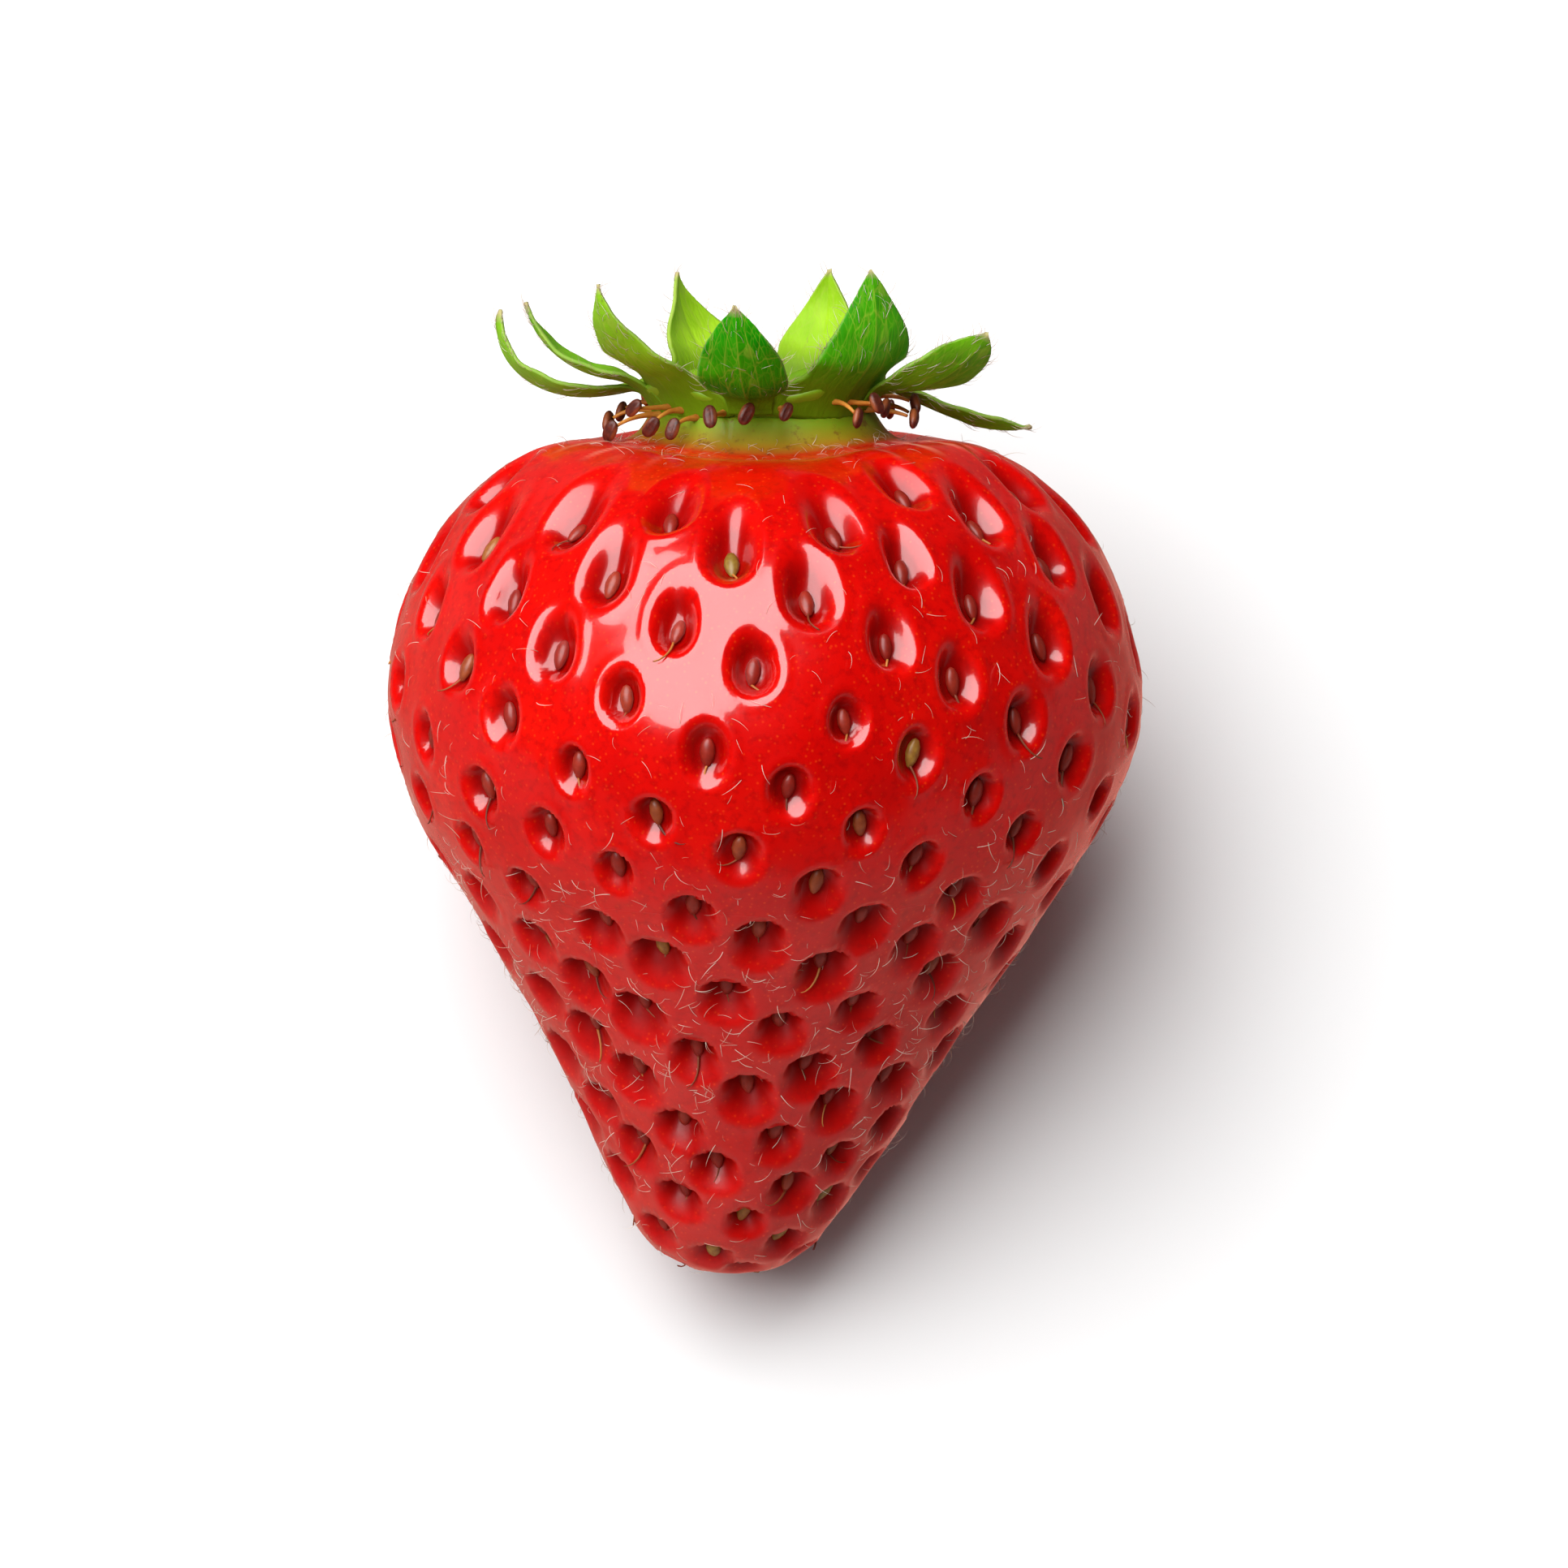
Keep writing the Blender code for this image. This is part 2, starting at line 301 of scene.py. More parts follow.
# Where each seed sits, and which ways are up the berry, across it and out of it there.
def placeSeeds():
    arcs = np.linspace(0.0, wholeArc, 2000)
    heights = np.interp(arcs, outlineArc, outlineLine[:, 0])
    radii = np.interp(arcs, outlineArc, outlineLine[:, 1])
    widest = arcs[np.argmax(radii)]
    lastArc = arcs[(arcs > widest) & (radii > seeds["lastRadius"])].max()
    spacing = np.interp(heights, *zip(*seeds["spacing"]))
    density = 2 * math.pi * radii / (0.866 * spacing ** 2)      # as in a hexagonal grid
    density[(arcs < seeds["firstArc"]) | (arcs > lastArc)] = 0.0
    count = np.concatenate(((0.0,), np.cumsum(0.5 * (density[1:] + density[:-1])
                                              * np.diff(arcs))))
    total = int(count[-1])
    rank = np.arange(total) + 0.5
    arc = np.interp(rank, count, arcs)
    radius = np.interp(arc, arcs, radii)
    angle = rank * seeds["goldenAngle"] + seeds["turn"]
    arc = arc + dice.uniform(-1, 1, total) * seeds["jitter"]
    angle = angle + dice.uniform(-1, 1, total) * seeds["jitter"] / np.maximum(radius, 2.0)
    step = berry["slopeStep"]
    place = berryForm(angle, arc)
    upWay = unitRows(berryForm(angle, arc + step) - berryForm(angle, arc - step))
    acrossWay = unitRows(berryForm(angle + step / 20, arc) - berryForm(angle - step / 20, arc))
    outWay = unitRows(np.cross(upWay, acrossWay))
    middle = (0, 0, berry["middle"])
    outWay *= np.sign((outWay * (place - middle)).sum(1, keepdims=True))
    height = np.interp(arc, outlineArc, outlineLine[:, 0])
    return {"place": place, "up": upWay, "across": acrossWay, "out": outWay, "height": height}


site = placeSeeds()
siteCount = len(site["height"])
print("seeds placed:", siteCount)


# The pit of each seed. The lists are (height, value) in mm; a wall starts at that share of the reach.
pits = {
    "width": ((0, 1.15), (8, 1.45), (20, 1.52), (27, 1.28), (31, 1.3), (35, 1.5), (42, 1.7)),
    "upReach": ((0, 1.1), (8, 1.3), (20, 1.35), (28, 1.4), (34, 2.1), (38, 3.0), (42, 4.2)),
    "lowReach": ((0, 1.4), (8, 2.1), (20, 2.3), (28, 1.7), (34, 1.75), (42, 1.9)),
    "depth": ((0, 0.8), (8, 1.2), (20, 1.2), (27, 0.8), (34, 0.85), (42, 1.05)),
    "wallUp": ((0, 0.6), (20, 0.72), (28, 0.6), (34, 0.4), (42, 0.12)),
    "wallLow": ((0, 0.12), (20, 0.08), (28, 0.4), (34, 0.42), (42, 0.3)),
    "lipShift": 0.34,              # the upper lip leans over the seed, mm
    "fan": 0.45,                   # and the lower end is wider
    "edge": 1.02,                  # the wall ends just past the reach
    "rim": 0.07,
    "touch": 6.0,                  # a pit moves no point further away than this
    "lowForm": (20.0, 29.0),       # heights over which the lower berry's pits change shape
    "lowSkin": (17.0, 29.0),       # and over which its skin turns duller
    "shoulder": (33.0, 42.0),
    "neckStart": 61.2,             # mm along the outline
    "neckLength": 3.6,
    "matt": (52.5, 57.0),
    "streakStart": (56.5, 60.0),
    "streakEnd": (61.5, 63.0),
    "waves": (7.0, 0.22),          # size and height of the skin's lumps
    "swells": (2.9, 0.055),
    "ripples": (1.7, 0.028),
    "cuts": 13,
    "finerCuts": 8,
    "seed": 4,
}
pitDice = np.random.default_rng(pits["seed"])


# How deep each point of the form lies in a pit, how much it belongs to the overhanging lip and to the
# raised rim, and how far it is from the nearest seed, where 1 is that pit's edge.
def pitShapes(form):
    deep = np.zeros(len(form))
    lip = np.zeros(len(form))
    rim = np.zeros(len(form))
    nearest = np.full(len(form), 9.0)
    for i in range(siteCount):
        height = site["height"][i]
        size = pitDice.uniform(0.86, 1.12)
        width = np.interp(height, *zip(*pits["width"])) * size * pitDice.uniform(0.94, 1.06)
        upReach = np.interp(height, *zip(*pits["upReach"])) * size
        lowReach = np.interp(height, *zip(*pits["lowReach"])) * size
        depth = np.interp(height, *zip(*pits["depth"])) * pitDice.uniform(0.85, 1.12)
        wallUp = np.interp(height, *zip(*pits["wallUp"]))
        wallLow = np.interp(height, *zip(*pits["wallLow"]))
        away = form - site["place"][i]
        near = np.nonzero((away ** 2).sum(1) < pits["touch"] ** 2)[0]
        away = away[near]
        along = away @ site["up"][i]
        across = away @ site["across"][i]
        off = away @ site["out"][i]
        reach = np.where(along > 0, upReach, lowReach)
        lowForm = 1.0 - smoothStep(*pits["lowForm"], height)
        fan = 1.0 + pits["fan"] * np.clip(-along / lowReach, 0, 1) * lowForm
        spread = np.sqrt((across / (width * fan)) ** 2 + (along / reach) ** 2 + (off / 5.0) ** 2)
        upperShare = 0.5 + 0.5 * (along / reach) / np.maximum(spread, 0.05)
        wall = blendOf(wallLow, wallUp, upperShare)
        fall = 1.0 - smoothStep(wall, pits["edge"], spread)
        evenFall = 1.0 - np.clip((spread - wall) / (pits["edge"] - wall), 0, 1)
        fall = blendOf(fall, evenFall, 0.7 * (1.0 - upperShare) * lowForm)
        deep[near] = np.maximum(deep[near], depth * fall)
        edge = np.exp(-((spread - 1.0) / 0.22) ** 2)
        lip[near] = np.maximum(lip[near], edge * smoothStep(0.55, 0.95, upperShare))
        rim[near] = np.maximum(rim[near], np.exp(-((spread - 1.12) / 0.16) ** 2))
        nearest[near] = np.minimum(nearest[near], spread)
    return deep, lip, rim, nearest


# The skin: a cube cut fine and blown up to the berry's form, with its pits and lumps, and the shares
# that its material reads.
def makeSkin():
    skin = newPrimitive(bpy.ops.mesh.primitive_cube_add, "berrySkin", size=2)
    bpy.ops.object.mode_set(mode="EDIT")
    bpy.ops.mesh.select_all(action="SELECT")
    bpy.ops.mesh.subdivide(number_cuts=pits["cuts"])
    bpy.ops.mesh.subdivide(number_cuts=pits["finerCuts"])
    bpy.ops.object.mode_set(mode="OBJECT")
    cube = pointsOf(skin.data)
    ball = unitRows(np.tan(cube * math.pi / 4))
    polar = np.arccos(np.clip(-ball[:, 2], -1, 1))
    angle = np.arctan2(ball[:, 0], ball[:, 1])
    arc = polar / math.pi * wholeArc
    form = berryForm(angle, arc)
    setPoints(skin.data, toRest(form))
    fixNormals(skin)
    restNormal = normalsOf(skin.data)
    normal = np.stack((restNormal @ rightWay, restNormal @ aboveWay, restNormal @ alongWay), 1)
    step = berry["slopeStep"]
    upWay = berryForm(angle, np.minimum(arc + step, wholeArc)) - berryForm(angle, arc - step)
    upWay = unitRows(upWay - normal * (upWay * normal).sum(1, keepdims=True))
    deep, lip, rim, nearest = pitShapes(form)

    height = form[:, 2]
    ridge = smoothStep(0.9, 1.15, nearest)
    lowShare = 1.0 - smoothStep(*pits["lowSkin"], height)
    shoulderShare = smoothStep(*pits["shoulder"], height)
    neckShare = np.clip((arc - pits["neckStart"]) / pits["neckLength"], 0, 1)
    waves, swells, ripples = (lumps(form, pits[key][0]) for key in ("waves", "swells", "ripples"))
    lift = -deep + pits["rim"] * rim * ridge * (1.0 - 0.6 * lowShare) + pits["waves"][1] * waves
    lift += pits["ripples"][1] * ripples * (0.4 + 0.6 * ridge)
    lift += pits["swells"][1] * swells * ridge * (1.0 - lowShare)
    lipMove = pits["lipShift"] * lip * (0.35 + 0.65 * lowShare) * (1.0 - 0.6 * shoulderShare)
    body = form + normal * (lift * (1.0 - 0.8 * neckShare))[:, None] - upWay * lipMove[:, None]
    points = toRest(body)
    points[:, 2] = np.maximum(points[:, 2], 0.0)      # flat where it lies on the floor
    setPoints(skin.data, points)

    # pale streaks from the neck down over the shoulder, on both flanks
    streak = np.array([noise.noise(Vector((turn * 16.0, way * 0.1, 3.0)))
                       for turn, way in zip(angle, arc)])
    patch = np.exp(-((np.abs(np.abs(angle) - 1.0)) / 0.34) ** 2)
    reach = smoothStep(*pits["streakStart"], arc) * (1.0 - smoothStep(*pits["streakEnd"], arc))
    for key, values in (
            # the pit share darkens the skin's colour in the pits: painted shade
            ("pit", np.clip(deep / 1.1, 0, 1)),
            ("dull", np.clip(deep / 0.9, 0, 1) * (0.35 + 0.65 * lowShare)),
            # a pale painted sheen on the lower berry's ridges, with a little dust paling them too
            ("ridgeSheenAndDust", ridge * lowShare * (0.7 + 0.6 * waves)),
            ("matt", smoothStep(*pits["matt"], arc)),
            ("low", lowShare),
            ("neck", neckShare),
            ("streak", 0.8 * smoothStep(0.12, 0.42, streak) * reach * patch)):
        setShare(skin.data, key, values)
    skin.data.shade_smooth()
    return skin, {"arc": arc, "ridge": ridge, "low": lowShare, "neck": neckShare, "points": points}


skin, skinInfo = makeSkin()
print("skin made, outline", round(float(wholeArc), 2), "mm")


# Fresh berry skin: a thin waxy film over translucent red flesh. It looks wet round the widest part,
# duller towards the tip, where its ridges get a pale painted sheen with a little dust; painted shade
# darkens the pits, and fine orange specks lie all over.
def skinMaterial():
    material, tree, shader = newMaterial("berrySkinWaxy", {
        "IOR": 1.45, "Subsurface Weight": 0.35, "Subsurface Radius": (1.0, 0.08, 0.04),
        "Subsurface Scale": 2.2 * mm, "Coat Roughness": 0.05, "Coat IOR": 1.45})
    shares = {key: addNode(tree, "ShaderNodeAttribute", {"attribute_name": key}).outputs["Fac"]
              for key in ("low", "pit", "ridgeSheenAndDust", "streak", "neck", "dull", "matt")}
    place = addNode(tree, "ShaderNodeTexCoord").outputs["Object"]
    specks = addNode(tree, "ShaderNodeTexVoronoi", {"feature": "F1"},      # 0.4 mm apart
                     {"Scale": perMillimetre(2.6), "Randomness": 1.0, "Vector": place})
    clouds = addNode(tree, "ShaderNodeTexNoise", None,      # 6 mm patches of riper red
                     {"Scale": perMillimetre(0.16), "Detail": 4.0, "Roughness": 0.55,
                      "Vector": place})
    grain = addNode(tree, "ShaderNodeTexNoise", None,      # skin cells, coarser than real, to show
                    {"Scale": perMillimetre(2.2), "Detail": 3.0, "Roughness": 0.6,
                     "Vector": place})
    bright = addNode(tree, "ShaderNodeValToRGB", None, {"Fac": clouds.outputs["Fac"]},
                     ((0.30, toLinear("#bf0301")), (0.52, toLinear("#cc0501")),
                      (0.72, toLinear("#d80c02")))).outputs["Color"]
    deepRed = addNode(tree, "ShaderNodeValToRGB", None, {"Fac": clouds.outputs["Fac"]},
                      ((0.30, toLinear("#b40301")), (0.70, toLinear("#c60501")))).outputs["Color"]
    colour = addNode(tree, "ShaderNodeMix", {"data_type": "RGBA"},
                     {0: shares["low"], 6: bright, 7: deepRed}).outputs[2]
    for source, stops, tint in (
            (specks.outputs["Distance"], ((0.05, grey(0.55)), (0.26, grey(0.0))), "#e2400e"),
            (grain.outputs["Fac"], ((0.48, grey(0.0)), (0.70, grey(0.5))), "#9a0103"),
            # painted shade: a darker red deep in the pits
            (shares["pit"], ((0.12, grey(0.0)), (0.65, grey(0.8))), "#8e0000"),
            # painted sheen with a little dust: the lower ridges turn pale rose
            (shares["ridgeSheenAndDust"], ((0.1, grey(0.0)), (1.0, grey(0.15))), "#d2665a")):
        mask = addNode(tree, "ShaderNodeValToRGB", None, {"Fac": source}, stops).outputs["Color"]
        colour = addNode(tree, "ShaderNodeMix", {"data_type": "RGBA"},
                         {0: mask, 6: colour, 7: toLinear(tint)}).outputs[2]
    colour = addNode(tree, "ShaderNodeMix", {"data_type": "RGBA"},
                     {0: shares["streak"], 6: colour, 7: toLinear("#f5a98c")}).outputs[2]
    neckColour = addNode(tree, "ShaderNodeValToRGB", None, {"Fac": shares["neck"]},
                         ((0.20, toLinear("#b41803")), (0.36, toLinear("#a85206")),
                          (0.58, toLinear("#917a03")), (0.85, toLinear("#789206")))).outputs["Color"]
    neckMask = addNode(tree, "ShaderNodeValToRGB", None, {"Fac": shares["neck"]},
                       ((0.16, grey(0.0)), (0.36, grey(1.0)))).outputs["Color"]
    blemish = addNode(tree, "ShaderNodeTexNoise", None,      # brown marks of about 1 mm
                      {"Scale": perMillimetre(1.1), "Detail": 5.0, "Roughness": 0.7,
                       "Vector": place})
    blemishMask = addNode(tree, "ShaderNodeValToRGB", None, {"Fac": blemish.outputs["Fac"]},
                          ((0.56, grey(0.0)), (0.68, grey(0.75)))).outputs["Color"]
    neckColour = addNode(tree, "ShaderNodeMix", {"data_type": "RGBA"},
                         {0: blemishMask, 6: neckColour, 7: toLinear("#6a3604")}).outputs[2]
    colour = addNode(tree, "ShaderNodeMix", {"data_type": "RGBA"},
                     {0: neckMask, 6: colour, 7: neckColour}).outputs[2]
    tree.links.new(colour, shader.inputs["Base Color"])
    rough = addNode(tree, "ShaderNodeValToRGB", None, {"Fac": shares["low"]},
                    ((0.0, grey(0.20)), (1.0, grey(0.34)))).outputs["Color"]
    for mask, level in ((shares["dull"], 0.3), (neckMask, 0.6)):
        rough = addNode(tree, "ShaderNodeMix", {"data_type": "RGBA"},
                        {0: mask, 6: rough, 7: grey(level)}).outputs[2]
    tree.links.new(rough, shader.inputs["Roughness"])
    bump = addNode(tree, "ShaderNodeBump", None,
                   {"Strength": 0.12, "Distance": 0.06 * mm, "Height": grain.outputs["Fac"]})
    tree.links.new(bump.outputs["Normal"], shader.inputs["Normal"])
    wetFilm = addNode(tree, "ShaderNodeValToRGB", None, {"Fac": shares["dull"]},
                      ((0.0, grey(1.0)), (0.8, grey(0.04)))).outputs["Color"]
    wetFilm = addNode(tree, "ShaderNodeMix", {"data_type": "RGBA"},
                      {0: shares["matt"], 6: wetFilm, 7: grey(0.1)}).outputs[2]
    tree.links.new(wetFilm, shader.inputs["Coat Weight"])
    return material


skin.data.materials.append(skinMaterial())
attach(skin, "root")
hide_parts("fruit_body")


# One seed: a small pointed egg with few faces, as it is repeated hundreds of times.
def seedTemplate():
    seed = newPrimitive(bpy.ops.mesh.primitive_uv_sphere_add, "seedTemplate", segments=8,
                        ring_count=6, radius=1.0)
    points = pointsOf(seed.data)
    up = points[:, 2]
    taper = 1.0 - 0.30 * np.clip(-up, 0, 1) ** 1.5
    shaped = np.stack((points[:, 0] * 0.5 * seeds["width"] * taper,
                       up * 0.5 * seeds["length"],
                       points[:, 1] * 0.36 * seeds["width"] * taper), 1)
    setPoints(seed.data, shaped * mm)
    fixNormals(seed)
    return seed


# The skin's point nearest to a seed's place.
def siteFloor(i):
    away = skinInfo["points"] - toRest(site["place"][i])
    return skinInfo["points"][np.argmin((away ** 2).sum(1))]


# The skin's own height under each seed, found along the seed's outward way.
def floorUnder(i):
    place = toRest(site["place"][i])
    out = turnToRest(site["out"][i])
    away = skinInfo["points"] - place
    beside = away - np.outer(away @ out, out)
    near = ((beside ** 2).sum(1) < (0.35 * mm) ** 2) & (np.abs(away @ out) < 3 * mm)
    if not near.any():
        return siteFloor(i), out
    return place + out * np.median((away @ out)[near]), out


# Every seed sits in its pit, a little turned and nodding; those pressed on the floor are left out.
def seedPlaces():
    rows = []
    for i in range(siteCount):
        floor, out = floorUnder(i)
        up = turnToRest(site["up"][i])
        across = turnToRest(site["across"][i])
        spin = dice.uniform(-0.22, 0.22)
        nod = dice.uniform(-0.18, 0.10)
        newUp = up * math.cos(spin) + across * math.sin(spin)
        newUp = newUp * math.cos(nod) + out * math.sin(nod)
        newOut = unitRows(out - newUp * (out @ newUp))
        newAcross = np.cross(newUp, newOut)
        size = dice.uniform(0.98, 1.16)
        lowPart = 1.0 - smoothStep(*pits["lowSkin"], site["height"][i])
        origin = floor + newOut * (0.12 + 0.12 * lowPart) * mm - newUp * 0.05 * lowPart * mm
        if origin[2] < seeds["seedFloor"] * mm:
            continue
        rows.append((origin, np.stack((newAcross, newUp, newOut)) * size, dice.uniform(0, 1)))
    return rows


# One style: a thread that bends over to its blunt end.
def styleTemplate():
    steps = ((0.02, 0.16, 0.92), (0.05, 0.24, 0.90), (0.10, 0.28, 0.92), (0.16, 0.26, 0.92),
             (0.22, 0.20, 0.95), (0.20, 0.08, 1.15), (0.07, 0.0, 0.5))
    return growTube("styleTemplate", 5, seeds["styleRadius"] * mm, steps)


seedRows = seedPlaces()
achenes = copyAll("achenes", seedTemplate(), seedRows)
styleRows = []
for origin, axes, tint in seedRows:
    if dice.uniform() > seeds["styleShare"]:
        continue
    across, up, out = unitRows(axes)
    fan = dice.uniform(-0.9, 0.9)
    climb = dice.uniform(0.15, 0.6)
    growWay = unitRows(-up * math.cos(fan) + across * math.sin(fan))
    growWay = unitRows(growWay * math.cos(climb) + out * math.sin(climb))
    side = unitRows(np.cross(growWay, out)) * dice.choice((-1, 1))
    third = np.cross(growWay, side)
    root = origin - up * 0.46 * seeds["length"] * mm + out * 0.05 * mm
    size = dice.uniform(0.8, 1.35)
    lowest = min(root[2], root[2] + seeds["styleReach"] * mm * growWay[2])
    if lowest < seeds["styleFloor"] * mm:
        continue
    styleRows.append((root, np.stack((side, third, growWay)) * size, dice.uniform(0, 1)))
styles = copyAll("styles", styleTemplate(), styleRows)
print("achenes", len(seedRows), "styles", len(styleRows))


# Achene: a small dry fruit with a hard, slightly polished brown shell; some ripen golden.
def seedMaterial():
    material, tree, shader = newMaterial("acheneShell", {"Roughness": 0.42, "Coat Weight": 0.12})
    tintShare = addNode(tree, "ShaderNodeAttribute", {"attribute_name": "tint"})
    place = addNode(tree, "ShaderNodeTexCoord")
    streaks = addNode(tree, "ShaderNodeTexNoise", None,      # 0.3 mm marks
                      {"Scale": perMillimetre(3.0), "Detail": 3.0, "Vector": place.outputs["Object"]})
    tone = addNode(tree, "ShaderNodeValToRGB", None, {"Fac": tintShare.outputs["Fac"]},
                   ((0.0, toLinear("#8a1c10")), (0.7, toLinear("#9c2c1a")), (0.88, toLinear("#954a22")),
                    (0.96, toLinear("#a8762e")), (1.0, toLinear("#857024")))).outputs["Color"]
    darkShare = addNode(tree, "ShaderNodeValToRGB", None, {"Fac": streaks.outputs["Fac"]},
                        ((0.35, grey(0.45)), (0.7, grey(0.0)))).outputs["Color"]
    colour = addNode(tree, "ShaderNodeMix", {"data_type": "RGBA"},
                     {0: darkShare, 6: tone, 7: toLinear("#64160c")}).outputs[2]
    tree.links.new(colour, shader.inputs["Base Color"])
    bump = addNode(tree, "ShaderNodeBump", None,
                   {"Strength": 0.3, "Distance": 0.05 * mm, "Height": streaks.outputs["Fac"]})
    tree.links.new(bump.outputs["Normal"], shader.inputs["Normal"])
    return material


# Dried style: a brown, papery thread without shine.
def styleMaterial():
    material, tree, shader = newMaterial("driedStyle", {"Roughness": 0.55})
    tintShare = addNode(tree, "ShaderNodeAttribute", {"attribute_name": "tint"})
    tone = addNode(tree, "ShaderNodeValToRGB", None, {"Fac": tintShare.outputs["Fac"]},
                   ((0.0, toLinear("#5a1c0c")), (0.6, toLinear("#8a3a14")),
                    (1.0, toLinear("#c07a34")))).outputs["Color"]
    tree.links.new(tone, shader.inputs["Base Color"])
    return material


achenes.data.materials.append(seedMaterial())
styles.data.materials.append(styleMaterial())
for piece in (achenes, styles):
    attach(piece, "root")


# Fine hairs on the skin and at the neck.
hairs = {
    "skinCount": 1700,
    "neckCount": 170,
    "leafEdgeCount": 46,
    "leafBackCount": 40,
    "thickness": 0.018,            # radius at the root, mm
    "length": (0.5, 1.3),          # times the template's 0.9 mm
    "root": 0.02,                  # how far the root is sunk in the skin, mm
    "seed": 21,
}
hairDice = np.random.default_rng(hairs["seed"])


# One hair: three sides, tapering as it curls over.
def hairTemplate():
    steps = ((0.02, 0.18, 0.96), (0.05, 0.18, 0.92), (0.09, 0.17, 0.88), (0.13, 0.15, 0.82),
             (0.16, 0.12, 0.7), (0.17, 0.08, 0.4))
    return growTube("hairTemplate", 3, hairs["thickness"] * mm, steps)


# One hair's place: it leaves along the tangent, raised by rise radians, and curls to a chance side.
def hairRow(root, out, tangent, rise, size):
    growWay = unitRows(tangent * math.cos(rise) + out * math.sin(rise))
    side = unitRows(out - growWay * (out @ growWay)) * -1
    spin = hairDice.uniform(-1.3, 1.3)
    third = np.cross(growWay, side)
    side, third = (side * math.cos(spin) + third * math.sin(spin),
                   third * math.cos(spin) - side * math.sin(spin))
    return root, np.stack((side, third, growWay)) * size, hairDice.uniform(0, 1)


skinNormal = normalsOf(skin.data)


# Most skin hairs stand on the ridges between the pits of the lower berry.
def skinHairRows():
    points = skinInfo["points"]
    weight = (0.16 + 0.84 * skinInfo["low"]) * (0.12 + 0.88 * skinInfo["ridge"])
    weight = weight * (1.0 - skinInfo["neck"]) * (points[:, 2] > 1.5 * mm)
    weight = weight * (0.35 + np.sin(skinInfo["arc"] / wholeArc * math.pi))
    chosen = hairDice.choice(len(points), hairs["skinCount"], p=weight / weight.sum())
    rows = []
    for i in chosen:
        out = skinNormal[i]
        tangent = unitRows(np.cross(out, hairDice.normal(size=3)))
        rows.append(hairRow(points[i] - out * hairs["root"] * mm, out, tangent,
                            hairDice.uniform(0.15, 1.0), hairDice.uniform(*hairs["length"])))
    return rows


# The neck's hairs lie down towards the tip.
def neckHairRows():
    points = skinInfo["points"]
    weight = np.exp(-((skinInfo["neck"] - 0.35) / 0.25) ** 2) * (skinInfo["neck"] > 0.03)
    chosen = hairDice.choice(len(points), hairs["neckCount"], p=weight / weight.sum())
    rows = []
    for i in chosen:
        out = skinNormal[i]
        tangent = unitRows(-alongWay + unitRows(hairDice.normal(size=3)) * 0.8)
        tangent = unitRows(tangent - out * (tangent @ out))
        rows.append(hairRow(points[i] - out * hairs["root"] * mm, out, tangent,
                            hairDice.uniform(0.3, 1.1), hairDice.uniform(0.5, 1.0)))
    return rows


# Plant hair: a hollow, almost clear thread that looks white where it catches light.
def hairMaterial():
    material, tree, shader = newMaterial("plantHair", {"Roughness": 0.4, "Alpha": 0.6})
    tintShare = addNode(tree, "ShaderNodeAttribute", {"attribute_name": "tint"})
    tone = addNode(tree, "ShaderNodeValToRGB", None, {"Fac": tintShare.outputs["Fac"]},
                   ((0.0, toLinear("#c9a890")), (1.0, toLinear("#efe2d4")))).outputs["Color"]
    tree.links.new(tone, shader.inputs["Base Color"])
    return material


hairStem = hairTemplate()
hairFinish = hairMaterial()
skinHairs = copyAll("skinHairs", hairStem, skinHairRows())
neckHairs = copyAll("neckHairs", hairStem, neckHairRows())
for piece in (skinHairs, neckHairs):
    piece.data.materials.append(hairFinish)
    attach(piece, "root")
print("hairs made")


# The calyx cup, where the neck and the leaf bases meet.
cup = {
    "rings": ((48.4, 5.85), (48.7, 5.95), (49.0, 6.15), (49.3, 6.4), (49.6, 6.7), (49.9, 6.98),
              (50.15, 7.08), (50.25, 6.95), (50.15, 6.6), (50.0, 5.6), (49.9, 4.0), (49.85, 2.2),
              (49.9, 0.8)),        # height, radius: up the outside, over the rim, down inside
    "sides": 120,
    "scallop": 0.6,                # the rim rises to each leaf, mm
    "notch": 0.6,                  # and stands back where a bractlet leaves from below it
    "ribs": 31,
    "ribHeight": 0.03,
}
# The two rings of leaves. Foot, belly and taper shape the blade; at joinShare of its length it leaves
# the curve that grows out of rootPlace, which is (radius, height).
sepalWhorl = {"height": 50.4, "foot": 0.88, "belly": 0.22, "taper": 1.5,
              "rootPlace": (6.12, 48.4), "rootWidth": 1.45, "joinShare": 0.2}
bractletWhorl = {"height": 49.7, "foot": 0.62, "belly": 0.38, "taper": 2.3,
                 "rootPlace": (6.35, 48.75), "rootWidth": 0.5, "joinShare": 0.07}

